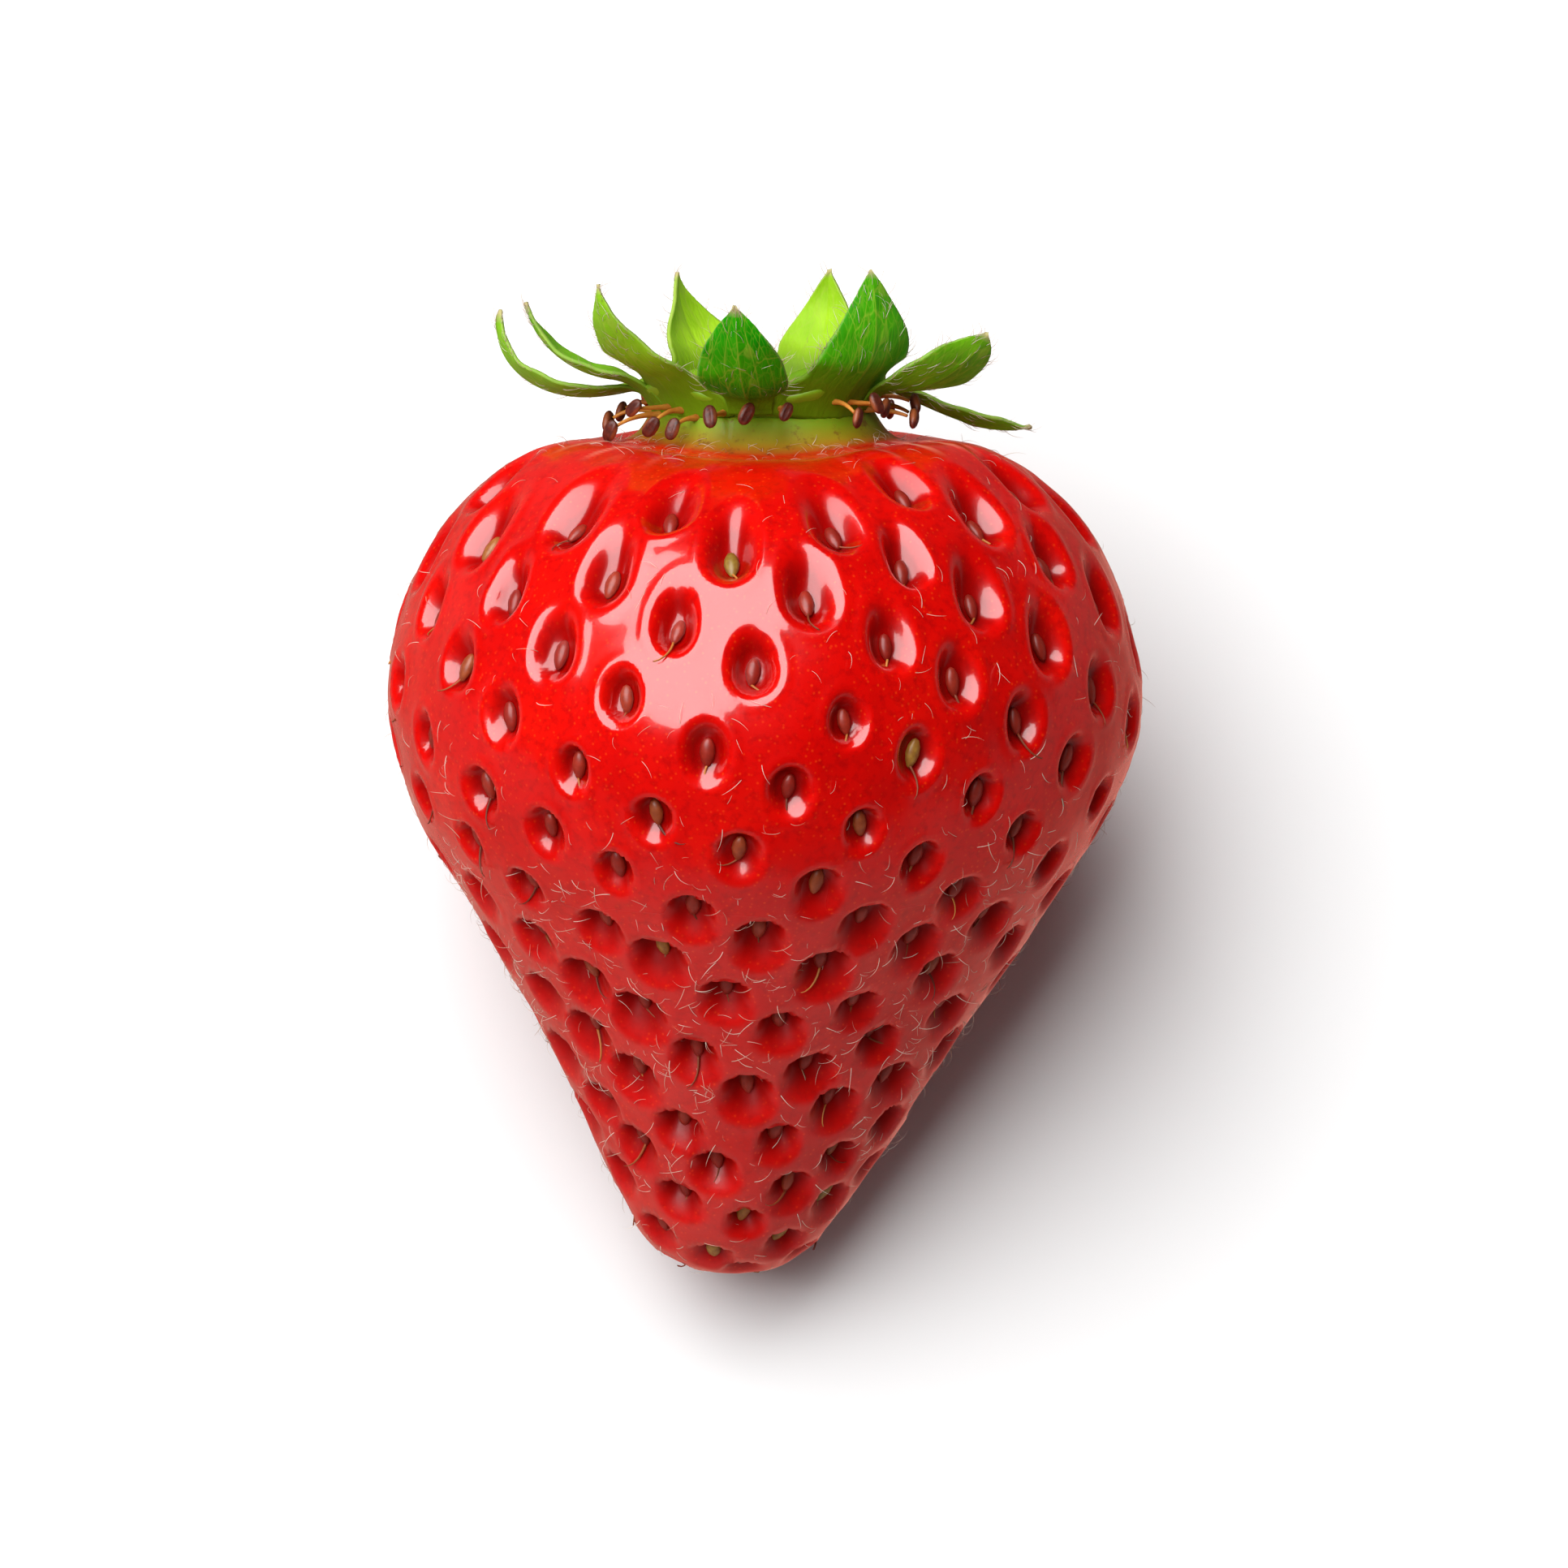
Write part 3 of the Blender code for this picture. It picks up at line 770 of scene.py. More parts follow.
# A leaf: its CAD node and ring; angle round the axis, lean from the axis at base, middle and tip,
# swing and twist in degrees; length, width and cup in mm; and how pale it is, 0 to 1.
leaves = {
    "leafFarLeft": ("bractlet_left", bractletWhorl, dict(
        angle=-100, lean=(105, 70, -18), swing=0, twist=-24, length=11.3, width=4.2, cup=0.4, pale=0.6)),
    "leafLeft": ("sepal_left", sepalWhorl, dict(
        angle=-79, lean=(97, 58, 14), swing=2, twist=16, length=8.6, width=3.0, cup=0.4, pale=0.45)),
    "leafLeftFront": ("sepal_left_front", sepalWhorl, dict(
        angle=-47, lean=(76, 48, 0), swing=2, twist=0, length=8.6, width=4.6, cup=0.4, pale=0.7)),
    "leafFront": ("bractlet_front", bractletWhorl, dict(
        angle=-6, lean=(90, 50, 14), swing=-1, twist=0, length=9.3, width=4.9, cup=0.4, pale=0.0)),
    "leafRightFront": ("sepal_right_front", sepalWhorl, dict(
        angle=43, lean=(84, 10, -16), swing=-18, twist=4, length=7.6, width=6.2, cup=0.6, pale=0.12)),
    "leafRight": ("bractlet_right", bractletWhorl, dict(
        angle=70, lean=(92, 62, 30), swing=0, twist=46, length=7.6, width=5.0, cup=0.4, pale=0.4)),
    "leafRightLow": ("bractlet_right_low", bractletWhorl, dict(
        angle=101, lean=(110, 111, 82), swing=4, twist=14, length=9.0, width=4.0, cup=0.3, pale=0.5)),
    "leafBackRight": ("sepal_back_right", sepalWhorl, dict(
        angle=156, lean=(56, 24, -10), swing=2, twist=0, length=6.2, width=4.6, cup=0.4, pale=1)),
    "leafBack": ("bractlet_back", bractletWhorl, dict(
        angle=180, lean=(96, 98, 104), swing=0, twist=0, length=9.2, width=4.2, cup=0.0, pale=0.5)),
    "leafBackLeft": ("sepal_back_left", sepalWhorl, dict(
        angle=-154, lean=(58, 30, -4), swing=52, twist=10, length=6.3, width=5.0, cup=0.6, pale=1)),
}
leafMake = {
    "start": 6.75,                 # where the CAD leaf starts, mm from the axis
    "rootLength": 2.0,             # how far the blade runs down round the cup
    "cupRadius": 6.3,
    "rows": 56,
    "columns": 28,
    "midlineSteps": 200,
    "thickness": 0.2,
    "sheet": 20.0,                 # the blade's UV map is this wide and high, mm
    "seed": 8,
}
leafDice = np.random.default_rng(leafMake["seed"])


# Half the blade's width at a share of its length; below 0 it runs down as a narrow root.
def leafHalfWidth(part, width, whorl):
    if part < whorl["belly"]:
        rise = math.sin(0.5 * math.pi * max(part, 0.0) / whorl["belly"])
        full = whorl["foot"] + (1.0 - whorl["foot"]) * rise
        down = min(max((0.14 - part) / 0.34, 0.0), 1.0)
        full = blendOf(full, whorl["rootWidth"], down * down * (3 - 2 * down))
    else:
        full = 1.0 - ((part - whorl["belly"]) / (1.0 - whorl["belly"])) ** whorl["taper"]
    return max(0.5 * width * full, 0.05)


# The cup grows ring by ring from a disc; its rim rises to the sepals and stands back at the bractlets.
def makeCup():
    piece = newPrimitive(bpy.ops.mesh.primitive_circle_add, "calyxCup", vertices=cup["sides"],
                         radius=1.0, fill_type="NGON")
    bpy.ops.object.mode_set(mode="EDIT")
    bpy.ops.mesh.select_all(action="SELECT")
    for ring in cup["rings"][1:]:
        bpy.ops.mesh.extrude_region_move(TRANSFORM_OT_translate={"value": (0, 0, 1)})
    bpy.ops.object.mode_set(mode="OBJECT")
    points = pointsOf(piece.data)
    level = np.rint(points[:, 2]).astype(int)
    angle = np.arctan2(points[:, 0], points[:, 1])
    height = np.array([ring[0] for ring in cup["rings"]])[level]
    radius = np.array([ring[1] for ring in cup["rings"]])[level]
    toLeaf = np.zeros(len(points))
    toBractlet = np.zeros(len(points))
    for _, whorl, leaf in leaves.values():
        apart = (angle - math.radians(leaf["angle"]) + math.pi) % (2 * math.pi) - math.pi
        close = np.exp(-(apart * leafMake["start"] / (0.5 * leaf["width"])) ** 2)
        toLeaf = np.maximum(toLeaf, close)
        if whorl is bractletWhorl:
            toBractlet = np.maximum(toBractlet, close)
    rimShare = smoothStep(48.9, 50.2, height)
    height = height + (cup["scallop"] * (toLeaf - 0.5) - cup["notch"] * toBractlet) * rimShare
    radius = radius + (0.12 * (toLeaf - 0.5) - 1.4 * cup["notch"] * toBractlet) * rimShare
    radius = radius + cup["ribHeight"] * np.sin(cup["ribs"] * angle) * rimShare
    form = np.stack((radius * np.sin(angle), radius * np.cos(angle), height), 1)
    setPoints(piece.data, toRest(form))
    setShare(piece.data, "pale", 1.0 - smoothStep(48.5, 50.2, height))
    fixNormals(piece)
    piece.data.shade_smooth()
    return piece


# The blade's midline: its points, and the ways it grows and widens, at each share in parts.
def leafMidline(whorl, leaf, parts):
    angle, swing, twist = (math.radians(leaf[key]) for key in ("angle", "swing", "twist"))
    low, middle, high = (math.radians(value) for value in leaf["lean"])
    start = np.array((math.sin(angle), math.cos(angle), 0.0)) * leafMake["start"]
    start[2] = whorl["height"]
    growWays = []
    acrossWays = []
    for part in parts:
        bent = min(max(part, 0.0), 1.0)
        lean = (low * (1 - bent) * (1 - 2 * bent) + middle * 4 * bent * (1 - bent)
                + high * bent * (2 * bent - 1))
        turn = angle + swing * bent
        out = np.array((math.sin(turn), math.cos(turn), 0.0))
        grow = out * math.sin(lean) + np.array((0.0, 0.0, math.cos(lean)))
        across = Matrix.Rotation(twist * bent, 3, Vector(grow)) @ Vector((out[1], -out[0], 0.0))
        growWays.append(grow)
        acrossWays.append(np.array(across))
    growWays = np.array(growWays)
    acrossWays = np.array(acrossWays)
    free = parts >= 0
    strides = growWays * leaf["length"] * (parts[1] - parts[0])
    centre = start + np.cumsum(np.where(free[:, None], strides, 0.0), axis=0)

    # the lowest stretch becomes one smooth curve up out of the cup
    join = np.argmin(np.abs(parts - whorl["joinShare"]))
    rootRadius, rootHeight = whorl["rootPlace"]
    rootSpot = np.array((math.sin(angle) * rootRadius, math.cos(angle) * rootRadius, rootHeight))
    rootWay = np.array((math.sin(angle) * 0.3, math.cos(angle) * 0.3, 0.95))
    pull = np.linalg.norm(centre[join] - rootSpot) * 1.1
    t = (np.arange(join + 1) / join)[:, None]
    centre[:join + 1] = ((2 * t ** 3 - 3 * t ** 2 + 1) * rootSpot
                         + (t ** 3 - 2 * t ** 2 + t) * pull * rootWay
                         + (3 * t ** 2 - 2 * t ** 3) * centre[join]
                         + (t ** 3 - t ** 2) * pull * growWays[join])
    return centre, unitRows(np.gradient(centre, axis=0)), acrossWays


# How far the blade stands off its flat form: cupped, rippled at the edge and sunk along its veins.
def leafRelief(leaf, wave, part, side, half):
    along = part * leaf["length"]
    curl = leaf["cup"] * side ** 2 * (2 * half / leaf["width"])
    curl = curl * smoothStep(-0.1, 0.3, part)
    curl += (side * half) ** 2 / (2 * leafMake["cupRadius"]) * (1 - smoothStep(-0.05, 0.35, part))
    ripple = 0.08 * side * np.sin(along * 1.1 + wave[0]) * smoothStep(0.1, 0.5, part)
    ripple += 0.05 * side ** 2 * np.sin(along * 2.3 + wave[1]) * smoothStep(0.0, 0.3, part)
    midVein = -0.07 * np.exp(-(side * half / 0.16) ** 2) * (1 - smoothStep(0.75, 1.0, part))
    sideVeins = -0.02 * np.maximum(0, np.cos((along - 0.9 * np.abs(side) * half * 1.3) * 4.2)) ** 6
    sideVeins *= (1 - np.exp(-(side * half / 0.3) ** 2)) * smoothStep(0.0, 0.2, part)
    return curl + ripple + midVein + sideVeins


# One leaf blade: a grid bent along its midline, then given its thickness.
def makeLeaf(name, whorl, leaf):
    blade = newPrimitive(bpy.ops.mesh.primitive_grid_add, name, x_subdivisions=leafMake["columns"],
                         y_subdivisions=leafMake["rows"], size=2)
    grid = pointsOf(blade.data)
    wave = leafDice.uniform(0, 6.28, 3)
    rootShare = -leafMake["rootLength"] / leaf["length"]
    steps = leafMake["midlineSteps"]
    parts = np.linspace(rootShare, 1.0, steps + 1)
    centre, growWays, acrossWays = leafMidline(whorl, leaf, parts)
    part = blendOf(rootShare, 1.0, (grid[:, 1] + 1) / 2)
    side = grid[:, 0]
    pick = np.clip(np.rint((part - rootShare) / (1 - rootShare) * steps), 0, steps).astype(int)
    half = np.array([leafHalfWidth(value, leaf["width"], whorl) for value in part])
    inWays = unitRows(np.cross(acrossWays[pick], growWays[pick]))
    shift = leafRelief(leaf, wave, part, side, half)
    form = (centre[pick] + acrossWays[pick] * (side * half)[:, None] + inWays * shift[:, None])
    setPoints(blade.data, toRest(form))
    layer = blade.data.uv_layers[0]      # the grid comes with one
    layer.name = "blade"
    loopVerts = np.empty(len(blade.data.loops), dtype=np.int32)
    blade.data.loops.foreach_get("vertex_index", loopVerts)
    sheet = leafMake["sheet"]
    flat = np.stack((0.5 + side * half / sheet, 0.1 + part * leaf["length"] / sheet), 1)[loopVerts]
    layer.data.foreach_set("uv", flat.astype(np.float32).ravel())
    setShare(blade.data, "side", np.abs(side))
    setShare(blade.data, "part", np.clip(part, 0, 1))
    setShare(blade.data, "pale", np.full(len(part), leaf["pale"]))

    # the face's normal has to point to the leaf's back, away from the axis
    faceWay = np.array(blade.data.polygons[len(blade.data.polygons) // 2].normal)
    inMiddle = turnToRest(inWays[len(inWays) // 2])
    if faceWay @ inMiddle > 0:
        selectOnly(blade)
        bpy.ops.object.mode_set(mode="EDIT")
        bpy.ops.mesh.select_all(action="SELECT")
        bpy.ops.mesh.flip_normals()
        bpy.ops.object.mode_set(mode="OBJECT")
    info = {"back": -turnToRest(inWays), "grow": turnToRest(growWays[pick]), "side": side,
            "across": turnToRest(acrossWays[pick]), "part": part, "points": toRest(form)}
    wall = blade.modifiers.new("wall", "SOLIDIFY")
    wall.thickness = leafMake["thickness"] * mm
    wall.offset = -1.0
    wall.material_offset = 1
    wall.material_offset_rim = 1
    applyModifiers(blade)
    blade.data.shade_smooth()
    return blade, info


# Strawberry leaf tissue: thin, soft and downy, so it has little shine and light glows through it. The
# back is dark green with pale veins, the face paler.
def leafMaterial(name, dark, light, paleDark, paleLight, vein, through):
    material, tree, shader = newMaterial(name, {"Roughness": 0.48, "IOR": 1.42,
                                                "Specular IOR Level": 0.2})
    shares = {key: addNode(tree, "ShaderNodeAttribute", {"attribute_name": key}).outputs["Fac"]
              for key in ("pale", "side", "part")}
    place = addNode(tree, "ShaderNodeTexCoord")
    flat = addNode(tree, "ShaderNodeUVMap", {"uv_map": "blade"})
    wide = addNode(tree, "ShaderNodeMapping", None,      # vein cells 1 mm across and 3 mm along
                   {"Scale": (leafMake["sheet"], 6.5, 1.0), "Vector": flat.outputs["UV"]})
    warp = addNode(tree, "ShaderNodeTexNoise", None,
                   {"Scale": 0.9, "Detail": 2.0, "Vector": wide.outputs["Vector"]})
    warped = addNode(tree, "ShaderNodeMix", {"data_type": "RGBA", "blend_type": "LINEAR_LIGHT"},
                     {0: 0.35, 6: wide.outputs["Vector"], 7: warp.outputs["Color"]})
    net = addNode(tree, "ShaderNodeTexVoronoi", {"feature": "DISTANCE_TO_EDGE"},
                  {"Scale": 1.0, "Vector": warped.outputs[2]})
    fineNet = addNode(tree, "ShaderNodeTexVoronoi", {"feature": "DISTANCE_TO_EDGE"},
                      {"Scale": 3.4, "Vector": warped.outputs[2]})
    blotch = addNode(tree, "ShaderNodeTexNoise", None,      # 2 mm patches
                     {"Scale": perMillimetre(0.5), "Detail": 4.0, "Vector": place.outputs["Object"]})
    tissue = addNode(tree, "ShaderNodeValToRGB", None, {"Fac": blotch.outputs["Fac"]},
                     ((0.3, toLinear(dark)), (0.7, toLinear(light)))).outputs["Color"]
    paleTissue = addNode(tree, "ShaderNodeValToRGB", None, {"Fac": blotch.outputs["Fac"]},
                         ((0.3, toLinear(paleDark)), (0.7, toLinear(paleLight)))).outputs["Color"]
    colour = addNode(tree, "ShaderNodeMix", {"data_type": "RGBA"},
                     {0: shares["pale"], 6: tissue, 7: paleTissue}).outputs[2]
    longVeins = ((0.0, grey(0.6)), (0.03, grey(0.0)), (0.33, grey(0.0)), (0.36, grey(0.45)),
                 (0.39, grey(0.0)), (0.67, grey(0.0)), (0.695, grey(0.35)), (0.72, grey(0.0)))
    for source, stops, tint in (
            (fineNet.outputs["Distance"], ((0.0, grey(0.22)), (0.08, grey(0.0))), vein),
            (net.outputs["Distance"],
             ((0.0, grey(0.5)), (0.015, grey(0.25)), (0.035, grey(0.0))), vein),
            (shares["side"], longVeins, vein),
            (shares["side"], ((0.95, grey(0.0)), (1.0, grey(0.4))), "#b4c070"),      # the margin
            (shares["part"], ((0.93, grey(0.0)), (0.985, grey(0.8))), "#cbb487"),      # dry tip
            (shares["part"], ((0.0, grey(0.9)), (0.3, grey(0.0))), "#6a8c0a")):      # the foot
        mask = addNode(tree, "ShaderNodeValToRGB", None, {"Fac": source}, stops).outputs["Color"]
        colour = addNode(tree, "ShaderNodeMix", {"data_type": "RGBA"},
                         {0: mask, 6: colour, 7: toLinear(tint)}).outputs[2]
    tree.links.new(colour, shader.inputs["Base Color"])
    height = addNode(tree, "ShaderNodeMath", {"operation": "ADD"},
                     {0: fineNet.outputs["Distance"], 1: net.outputs["Distance"]})
    bump = addNode(tree, "ShaderNodeBump", None,
                   {"Strength": 0.25, "Distance": 0.15 * mm, "Height": height.outputs["Value"]})
    tree.links.new(bump.outputs["Normal"], shader.inputs["Normal"])
    glow = addNode(tree, "ShaderNodeBsdfTranslucent", None, {"Color": colour})
    both = addNode(tree, "ShaderNodeMixShader", None,
                   {"Fac": through, 1: shader.outputs["BSDF"], 2: glow.outputs["BSDF"]})
    tree.links.new(both.outputs["Shader"], tree.nodes["Material Output"].inputs["Surface"])
    return material


# Calyx flesh: moist green tissue with a low satin sheen, a little light passing under its surface.
def cupMaterial():
    material, tree, shader = newMaterial("calyxTissue", {
        "Roughness": 0.42, "Subsurface Weight": 0.2, "Subsurface Radius": (0.4, 0.8, 0.15),
        "Subsurface Scale": 1.0 * mm})
    paleShare = addNode(tree, "ShaderNodeAttribute", {"attribute_name": "pale"})
    place = addNode(tree, "ShaderNodeTexCoord")
    blotch = addNode(tree, "ShaderNodeTexNoise", None,      # patches of 1 to 2 mm
                     {"Scale": perMillimetre(0.6), "Detail": 4.0, "Vector": place.outputs["Object"]})
    green = addNode(tree, "ShaderNodeValToRGB", None, {"Fac": blotch.outputs["Fac"]},
                    ((0.3, toLinear("#62920a")), (0.7, toLinear("#7ba412")))).outputs["Color"]
    colour = addNode(tree, "ShaderNodeMix", {"data_type": "RGBA"},
                     {0: paleShare.outputs["Fac"], 6: green, 7: toLinear("#789206")}).outputs[2]
    tree.links.new(colour, shader.inputs["Base Color"])
    bump = addNode(tree, "ShaderNodeBump", None,
                   {"Strength": 0.3, "Distance": 0.15 * mm, "Height": blotch.outputs["Fac"]})
    tree.links.new(bump.outputs["Normal"], shader.inputs["Normal"])
    return material


calyxCup = makeCup()
calyxCup.data.materials.append(cupMaterial())
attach(calyxCup, "root")
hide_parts("calyx_base")

leafBacks = leafMaterial("leafBackDowny", "#0f9200", "#3fb402", "#8cbe14", "#a8d426", "#a2c038", 0.22)
leafFaces = leafMaterial("leafFacePale", "#6fa61c", "#8abc2e", "#b2c268", "#c4ce96", "#d2dcb0", 0.4)
leafInfo = {}
for name, (node, whorl, leaf) in leaves.items():
    blade, leafInfo[name] = makeLeaf(name, whorl, leaf)
    blade.data.materials.append(leafBacks)
    blade.data.materials.append(leafFaces)
    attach(blade, "root")
    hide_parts(node)
print("calyx made")


# Hairs on each leaf's back, closer together along its edge.
def leafHairRows():
    rows = []
    for info in leafInfo.values():
        onBlade = (info["part"] > 0.08) & (info["part"] < 0.99)
        edge = onBlade & (np.abs(info["side"]) > 0.93)
        for chosen, count, isEdge in ((np.nonzero(edge)[0], hairs["leafEdgeCount"], True),
                                      (np.nonzero(onBlade)[0], hairs["leafBackCount"], False)):
            for i in hairDice.choice(chosen, count):
                back, grow = info["back"][i], info["grow"][i]
                sideWay = info["across"][i] * np.sign(info["side"][i] + 1e-6)
                wander = unitRows(hairDice.normal(size=3)) * 0.5
                if isEdge:
                    tangent = unitRows(sideWay * 0.8 + grow + wander)
                    rise = hairDice.uniform(-0.3, 0.6)
                else:
                    tangent = unitRows(grow + wander)
                    rise = hairDice.uniform(0.1, 0.6)
                tangent = unitRows(tangent - back * (tangent @ back))
                rows.append(hairRow(info["points"][i], back, tangent, rise,
                                    hairDice.uniform(0.5, 1.1)))
    return rows


leafHairs = copyAll("leafHairs", hairStem, leafHairRows())
leafHairs.data.materials.append(hairFinish)
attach(leafHairs, "root")
print("leaf hairs made")


# The cut stalk inside the calyx.
stub = {
    "radius": 1.1,
    "length": 2.0,
    "buried": 0.6,
    "place": -0.7,                 # off the axis, mm
    "lean": -10.0,                 # degrees
    "start": 50.1,
    "edge": 0.08,
}


def makeStub():
    whole = stub["length"] + stub["buried"]
    piece = newPrimitive(bpy.ops.mesh.primitive_cylinder_add, "stalkStub", vertices=40,
                         radius=stub["radius"], depth=whole)
    bpy.ops.object.mode_set(mode="EDIT")
    bpy.ops.mesh.select_all(action="SELECT")
    bpy.ops.mesh.subdivide(number_cuts=3)
    bpy.ops.object.mode_set(mode="OBJECT")
    points = pointsOf(piece.data)
    climb = points[:, 2] + 0.5 * whole
    foot = 1.0 + 0.45 * np.exp(-climb / 0.5)
    angle = np.arctan2(points[:, 0], points[:, 1])
    ribs = 1.0 + 0.03 * np.sin(9 * angle) + 0.02 * np.sin(17 * angle + 1)
    points[:, 0] *= foot * ribs
    points[:, 1] *= foot * ribs
    pith = np.hypot(points[:, 0], points[:, 1]) < 0.7 * stub["radius"]
    cut = climb > whole - 0.1
    points[:, 2] = climb + stub["start"] - 0.12 * (cut & pith)      # the cut end has dried hollow
    points[:, 0] += stub["place"] + math.tan(math.radians(stub["lean"])) * climb
    setPoints(piece.data, toRest(points))
    fixNormals(piece)
    edges = piece.modifiers.new("soft", "BEVEL")
    edges.width = stub["edge"] * mm
    edges.segments = 2
    applyModifiers(piece)
    piece.data.shade_smooth()
    return piece


# Cut green stalk: dull and fibrous, green with dry straw-coloured strands.
def stubMaterial():
    material, tree, shader = newMaterial("stalkCut", {"Roughness": 0.6})
    place = addNode(tree, "ShaderNodeTexCoord")
    fibre = addNode(tree, "ShaderNodeTexNoise", None,      # 0.4 mm strands
                    {"Scale": perMillimetre(2.5), "Detail": 4.0, "Vector": place.outputs["Object"]})
    tone = addNode(tree, "ShaderNodeValToRGB", None, {"Fac": fibre.outputs["Fac"]},
                   ((0.3, toLinear("#6d8c2a")), (0.7, toLinear("#b7b96a")))).outputs["Color"]
    tree.links.new(tone, shader.inputs["Base Color"])
    bump = addNode(tree, "ShaderNodeBump", None,
                   {"Strength": 0.5, "Distance": 0.1 * mm, "Height": fibre.outputs["Fac"]})
    tree.links.new(bump.outputs["Normal"], shader.inputs["Normal"])
    return material


stalkStub = makeStub()
stalkStub.data.materials.append(stubMaterial())
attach(stalkStub, "root")
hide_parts("stalk_stub")
print("stalk made")


# The dried stamens in their ring under the leaves.
stamens = {
    "height": 49.0,
    "heightSpread": (-0.6, 0.45),
    "start": 6.75,                 # from the axis
    "rootLength": 0.7,             # how far it starts inside the neck
    "steps": 12,
    "curveSteps": 60,
    "thickness": ((0, 0.3, 0.75, 1.0), (0.24, 0.16, 0.11, 0.09)),      # radius along the filament
    "list": ((-66, 3.2, 46), (-54, 2.6, -4), (-45, 2.7, 60), (-36, 2.3, 44), (-20, 2.2, 4),
             (-6, 2.2, 42), (9, 2.1, 4), (37, 2.7, 56), (47, 2.4, -4), (56, 2.0, 24),
             (66, 3.0, 26), (86, 2.4, 40), (104, 2.7, 52), (122, 2.3, 38), (141, 2.6, 20),
             (163, 2.4, 36), (-174, 2.7, 44), (-153, 2.3, 14), (-131, 2.6, 34), (-110, 2.4, 54),
             (-89, 2.6, 56)),      # angle, length in mm, dip in degrees
    "antherLength": 1.3,
    "antherWidth": 0.8,
    "seed": 3,
}
stamenDice = np.random.default_rng(stamens["seed"])


# The straight filament, one unit for each of its steps, and a two-lobed anther in millimetres.
def stamenTemplate():
    filament = newPrimitive(bpy.ops.mesh.primitive_circle_add, "stamenTemplate", vertices=8,
                            radius=1.0, fill_type="NGON")
    bpy.ops.object.mode_set(mode="EDIT")
    bpy.ops.mesh.select_all(action="SELECT")
    for step in range(stamens["steps"]):
        bpy.ops.mesh.extrude_region_move(TRANSFORM_OT_translate={"value": (0, 0, 1)})
    bpy.ops.object.mode_set(mode="OBJECT")
    fixNormals(filament)
    anther = newPrimitive(bpy.ops.mesh.primitive_uv_sphere_add, "antherTemplate", segments=20,
                          ring_count=12, radius=1.0)
    points = pointsOf(anther.data)
    groove = 1.0 - 0.42 * np.exp(-(points[:, 0] / 0.26) ** 2) * (1 - 0.4 * np.abs(points[:, 2]))
    square = np.sign(points[:, 2]) * np.abs(points[:, 2]) ** 0.8
    shaped = np.stack((points[:, 0] * 0.5 * stamens["antherWidth"],
                       points[:, 1] * 0.34 * stamens["antherWidth"] * groove,
                       square * 0.5 * stamens["antherLength"]), 1)
    setPoints(anther.data, shaped)
    return filament, anther


# One stamen: the filament leaves the neck square to it and droops, and the anther hangs at its end.
def makeStamen(number, angleDegrees, length, dipDegrees, filamentTemplate, antherTemplate):
    angle, dip = math.radians(angleDegrees), math.radians(dipDegrees)
    out = np.array((math.sin(angle), math.cos(angle), 0.0))
    across = np.array((out[1], -out[0], 0.0))
    steps = stamens["curveSteps"]
    height = stamens["height"] + stamenDice.uniform(*stamens["heightSpread"])
    spots = [out * stamens["start"] + np.array((0, 0, height))]
    grows = []
    for step in range(steps + 1):
        bend = dip * step / steps
        grow = out * math.cos(bend) - np.array((0.0, 0.0, math.sin(bend)))
        grows.append(grow)
        spots.append(spots[-1] + grow * length / steps)
    spots, grows = np.array(spots[:-1]), np.array(grows)

    def frameAt(part):
        pick = int(round(min(max(part, 0.0), 1.0) * steps))
        return spots[pick] + grows[0] * min(part, 0.0) * length, grows[pick]

    name = f"stamen{number:02d}"
    mesh = filamentTemplate.data.copy()
    piece = bpy.data.objects.new(name, mesh)
    bpy.context.scene.collection.objects.link(piece)
    points = pointsOf(mesh)
    formed = np.empty_like(points)
    antherStart = 1.0 - 0.75 * stamens["antherLength"] / length
    for i, (x, y, z) in enumerate(points):
        way = z / stamens["steps"]
        spot, grow = frameAt(blendOf(-stamens["rootLength"] / length, antherStart, way))
        thick = np.interp(way, *stamens["thickness"])
        over = np.cross(across, grow)
        formed[i] = spot + (across * x + over * y) * thick
    setPoints(mesh, toRest(formed))
    anther = bpy.data.objects.new(name + "Anther", antherTemplate.data.copy())
    bpy.context.scene.collection.objects.link(anther)
    spot, grow = frameAt(1.0 - 0.45 * stamens["antherLength"] / length)
    hang = np.array((0.0, 0.0, -0.8)) + grow * 0.3 + across * stamenDice.uniform(-1.1, 1.1)
    hang = unitRows(hang)
    face = unitRows(grow - hang * (grow @ hang))
    sideways = np.cross(face, hang)
    size = stamenDice.uniform(0.88, 1.08)
    points = pointsOf(anther.data) * size
    setPoints(anther.data, toRest(points[:, :1] * sideways + points[:, 1:2] * face
                                  + points[:, 2:] * hang + spot))
    setShare(anther.data, "edge", np.clip(np.abs(pointsOf(antherTemplate.data)[:, 0])
                                          / (0.5 * stamens["antherWidth"]), 0, 1))
    setShare(mesh, "edge", np.zeros(len(mesh.vertices)))
    mesh.materials.append(filamentFinish)
    anther.data.materials.append(antherFinish)
    bpy.ops.object.select_all(action="DESELECT")
    anther.select_set(True)
    piece.select_set(True)
    bpy.context.view_layer.objects.active = piece
    bpy.ops.object.join()
    fixNormals(piece)
    piece.data.shade_smooth()
    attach(piece, "root")
    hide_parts(f"stamen_{number:02d}")
    return piece


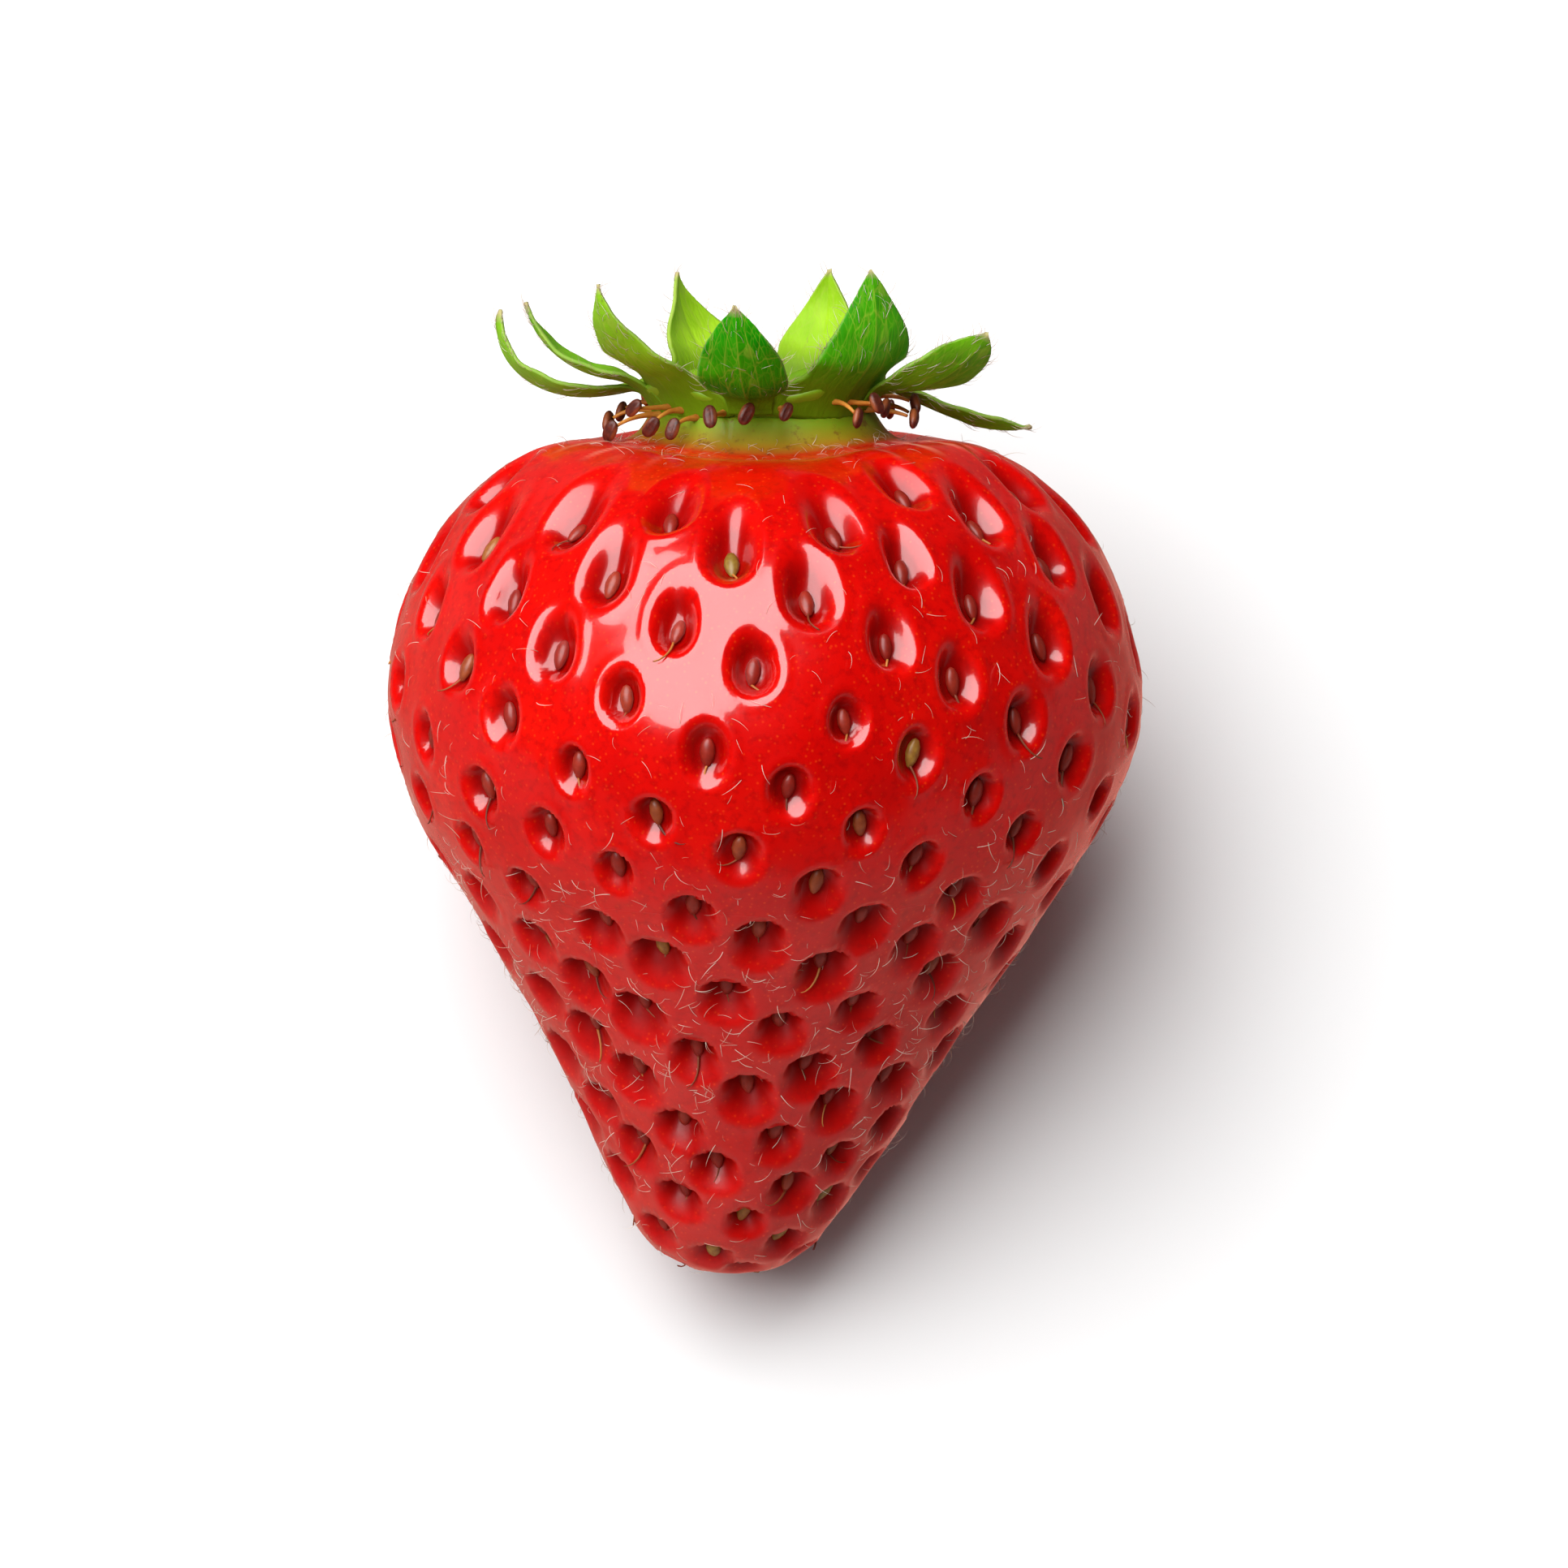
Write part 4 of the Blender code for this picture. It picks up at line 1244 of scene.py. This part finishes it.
# Wilted filament: a soft orange-tan thread, slightly see-through.
def filamentMaterial():
    material, tree, shader = newMaterial("filamentWilted", {
        "Roughness": 0.5, "Subsurface Weight": 0.15, "Subsurface Scale": 0.4 * mm})
    place = addNode(tree, "ShaderNodeTexCoord")
    patches = addNode(tree, "ShaderNodeTexNoise", None,      # about 1 mm
                      {"Scale": perMillimetre(0.9), "Detail": 3.0, "Vector": place.outputs["Object"]})
    tone = addNode(tree, "ShaderNodeValToRGB", None, {"Fac": patches.outputs["Fac"]},
                   ((0.3, toLinear("#a85c18")), (0.7, toLinear("#cf8d36")))).outputs["Color"]
    tree.links.new(tone, shader.inputs["Base Color"])
    return material


# Dried anther: a shrunken brown sac, its edges a lighter rust.
def antherMaterial():
    material, tree, shader = newMaterial("antherDried", {"Roughness": 0.45})
    edgeShare = addNode(tree, "ShaderNodeAttribute", {"attribute_name": "edge"})
    place = addNode(tree, "ShaderNodeTexCoord")
    wrinkle = addNode(tree, "ShaderNodeTexNoise", None,      # 0.25 mm wrinkles
                      {"Scale": perMillimetre(4.0), "Detail": 4.0, "Vector": place.outputs["Object"]})
    tone = addNode(tree, "ShaderNodeValToRGB", None, {"Fac": wrinkle.outputs["Fac"]},
                   ((0.3, toLinear("#3a120a")), (0.7, toLinear("#642413")))).outputs["Color"]
    rust = addNode(tree, "ShaderNodeValToRGB", None, {"Fac": edgeShare.outputs["Fac"]},
                   ((0.62, grey(0.0)), (0.98, grey(0.7)))).outputs["Color"]
    colour = addNode(tree, "ShaderNodeMix", {"data_type": "RGBA"},
                     {0: rust, 6: tone, 7: toLinear("#a5562a")}).outputs[2]
    tree.links.new(colour, shader.inputs["Base Color"])
    bump = addNode(tree, "ShaderNodeBump", None,
                   {"Strength": 0.5, "Distance": 0.06 * mm, "Height": wrinkle.outputs["Fac"]})
    tree.links.new(bump.outputs["Normal"], shader.inputs["Normal"])
    return material


filamentFinish = filamentMaterial()
antherFinish = antherMaterial()
filamentTemplate, antherTemplate = stamenTemplate()
for number, (angle, length, dip) in enumerate(stamens["list"], 1):
    makeStamen(number, angle, length, dip, filamentTemplate, antherTemplate)
print("stamens made")

for name in ("seedTemplate", "styleTemplate", "hairTemplate", "stamenTemplate", "antherTemplate"):
    bpy.data.objects.remove(bpy.data.objects[name], do_unlink=True)


# Floor, light and camera. Lamps in metres and watts, the camera in mm and degrees.
studio = {
    "floorSize": 6.0,
    "keyWay": (-0.33, 0.20, 0.92),
    "keyDistance": 1.1,
    "keySize": (1.42, 1.12),
    "keyPower": 30.0,
    "fillWay": (-0.35, -0.68, 0.62),
    "fillDistance": 1.1,
    "fillSize": 1.3,
    "fillPower": 2.8,
    "lightAim": (0.0, 0.0, 0.018),
    "world": 0.015,
    "worldBelow": 0.65,            # under the floor, so only the wet skin's reflections see it
    "belowTone": "#ff9c8c",
    "cameraAim": (1.38, -2.07, 17.94),
    "cameraElevation": 68.5,
    "cameraDistance": 500.0,
    "lens": 206.0,
}


# Matt studio paper: even and pale without shine, so that only the soft shadow shows on it.
def makeFloor():
    floor = newPrimitive(bpy.ops.mesh.primitive_plane_add, "floor", size=studio["floorSize"])
    material, tree, shader = newMaterial("matPaper", {
        "Base Color": toLinear("#dddddd"), "Roughness": 0.9, "Specular IOR Level": 0.1})
    floor.data.materials.append(material)
    floor.visible_glossy = False      # keeps the pale floor out of the wet skin's reflections


def aimAt(piece, target):
    piece.rotation_euler = (Vector(target) - piece.location).to_track_quat("-Z", "Y").to_euler()


def addSoftLight(name, way, distance, sizes, power):
    light = bpy.data.lights.new(name, "AREA")
    light.shape = "RECTANGLE"
    light.size, light.size_y = sizes
    light.energy = power
    lamp = bpy.data.objects.new(name, light)
    bpy.context.scene.collection.objects.link(lamp)
    middle = Vector(studio["lightAim"])
    lamp.location = middle + Vector(way).normalized() * distance
    aimAt(lamp, middle)
    return lamp


def makeLights():
    addSoftLight("keyLight", studio["keyWay"], studio["keyDistance"], studio["keySize"],
                 studio["keyPower"])
    fill = addSoftLight("fillLight", studio["fillWay"], studio["fillDistance"],
                        (studio["fillSize"], studio["fillSize"]), studio["fillPower"])
    fill.visible_glossy = False


# A dim room whose lower half is a warm tone.
def makeWorld():
    world = bpy.data.worlds.new("dimRoom")
    world.use_nodes = True
    room = world.node_tree
    way = addNode(room, "ShaderNodeTexCoord")
    parts = addNode(room, "ShaderNodeSeparateXYZ", None, {"Vector": way.outputs["Generated"]})
    level = addNode(room, "ShaderNodeMapRange", None,
                    {"From Min": -0.95, "From Max": 0.0, "To Min": studio["worldBelow"],
                     "To Max": studio["world"], "Value": parts.outputs["Z"]})
    room.links.new(level.outputs["Result"], room.nodes["Background"].inputs["Strength"])
    upper = addNode(room, "ShaderNodeMapRange", None,
                    {"From Min": -0.5, "From Max": 0.0, "Value": parts.outputs["Z"]})
    tone = addNode(room, "ShaderNodeMix", {"data_type": "RGBA"},
                   {0: upper.outputs["Result"], 6: toLinear(studio["belowTone"]),
                    7: grey(1.0)}).outputs[2]
    room.links.new(tone, room.nodes["Background"].inputs["Color"])
    bpy.context.scene.world = world
    bpy.context.scene.view_settings.view_transform = "Standard"


def makeCamera():
    camera = bpy.data.cameras.new("camera")
    camera.lens = studio["lens"]
    camera.sensor_width = 36.0
    camera.clip_start = 0.01
    holder = bpy.data.objects.new("camera", camera)
    bpy.context.scene.collection.objects.link(holder)
    climb = math.radians(studio["cameraElevation"])
    aim = Vector(studio["cameraAim"]) * mm
    away = Vector((0, -math.cos(climb), math.sin(climb)))
    holder.location = aim + away * studio["cameraDistance"] * mm
    aimAt(holder, aim)
    bpy.context.scene.camera = holder


makeFloor()
makeLights()
makeWorld()
makeCamera()
print("studio made")
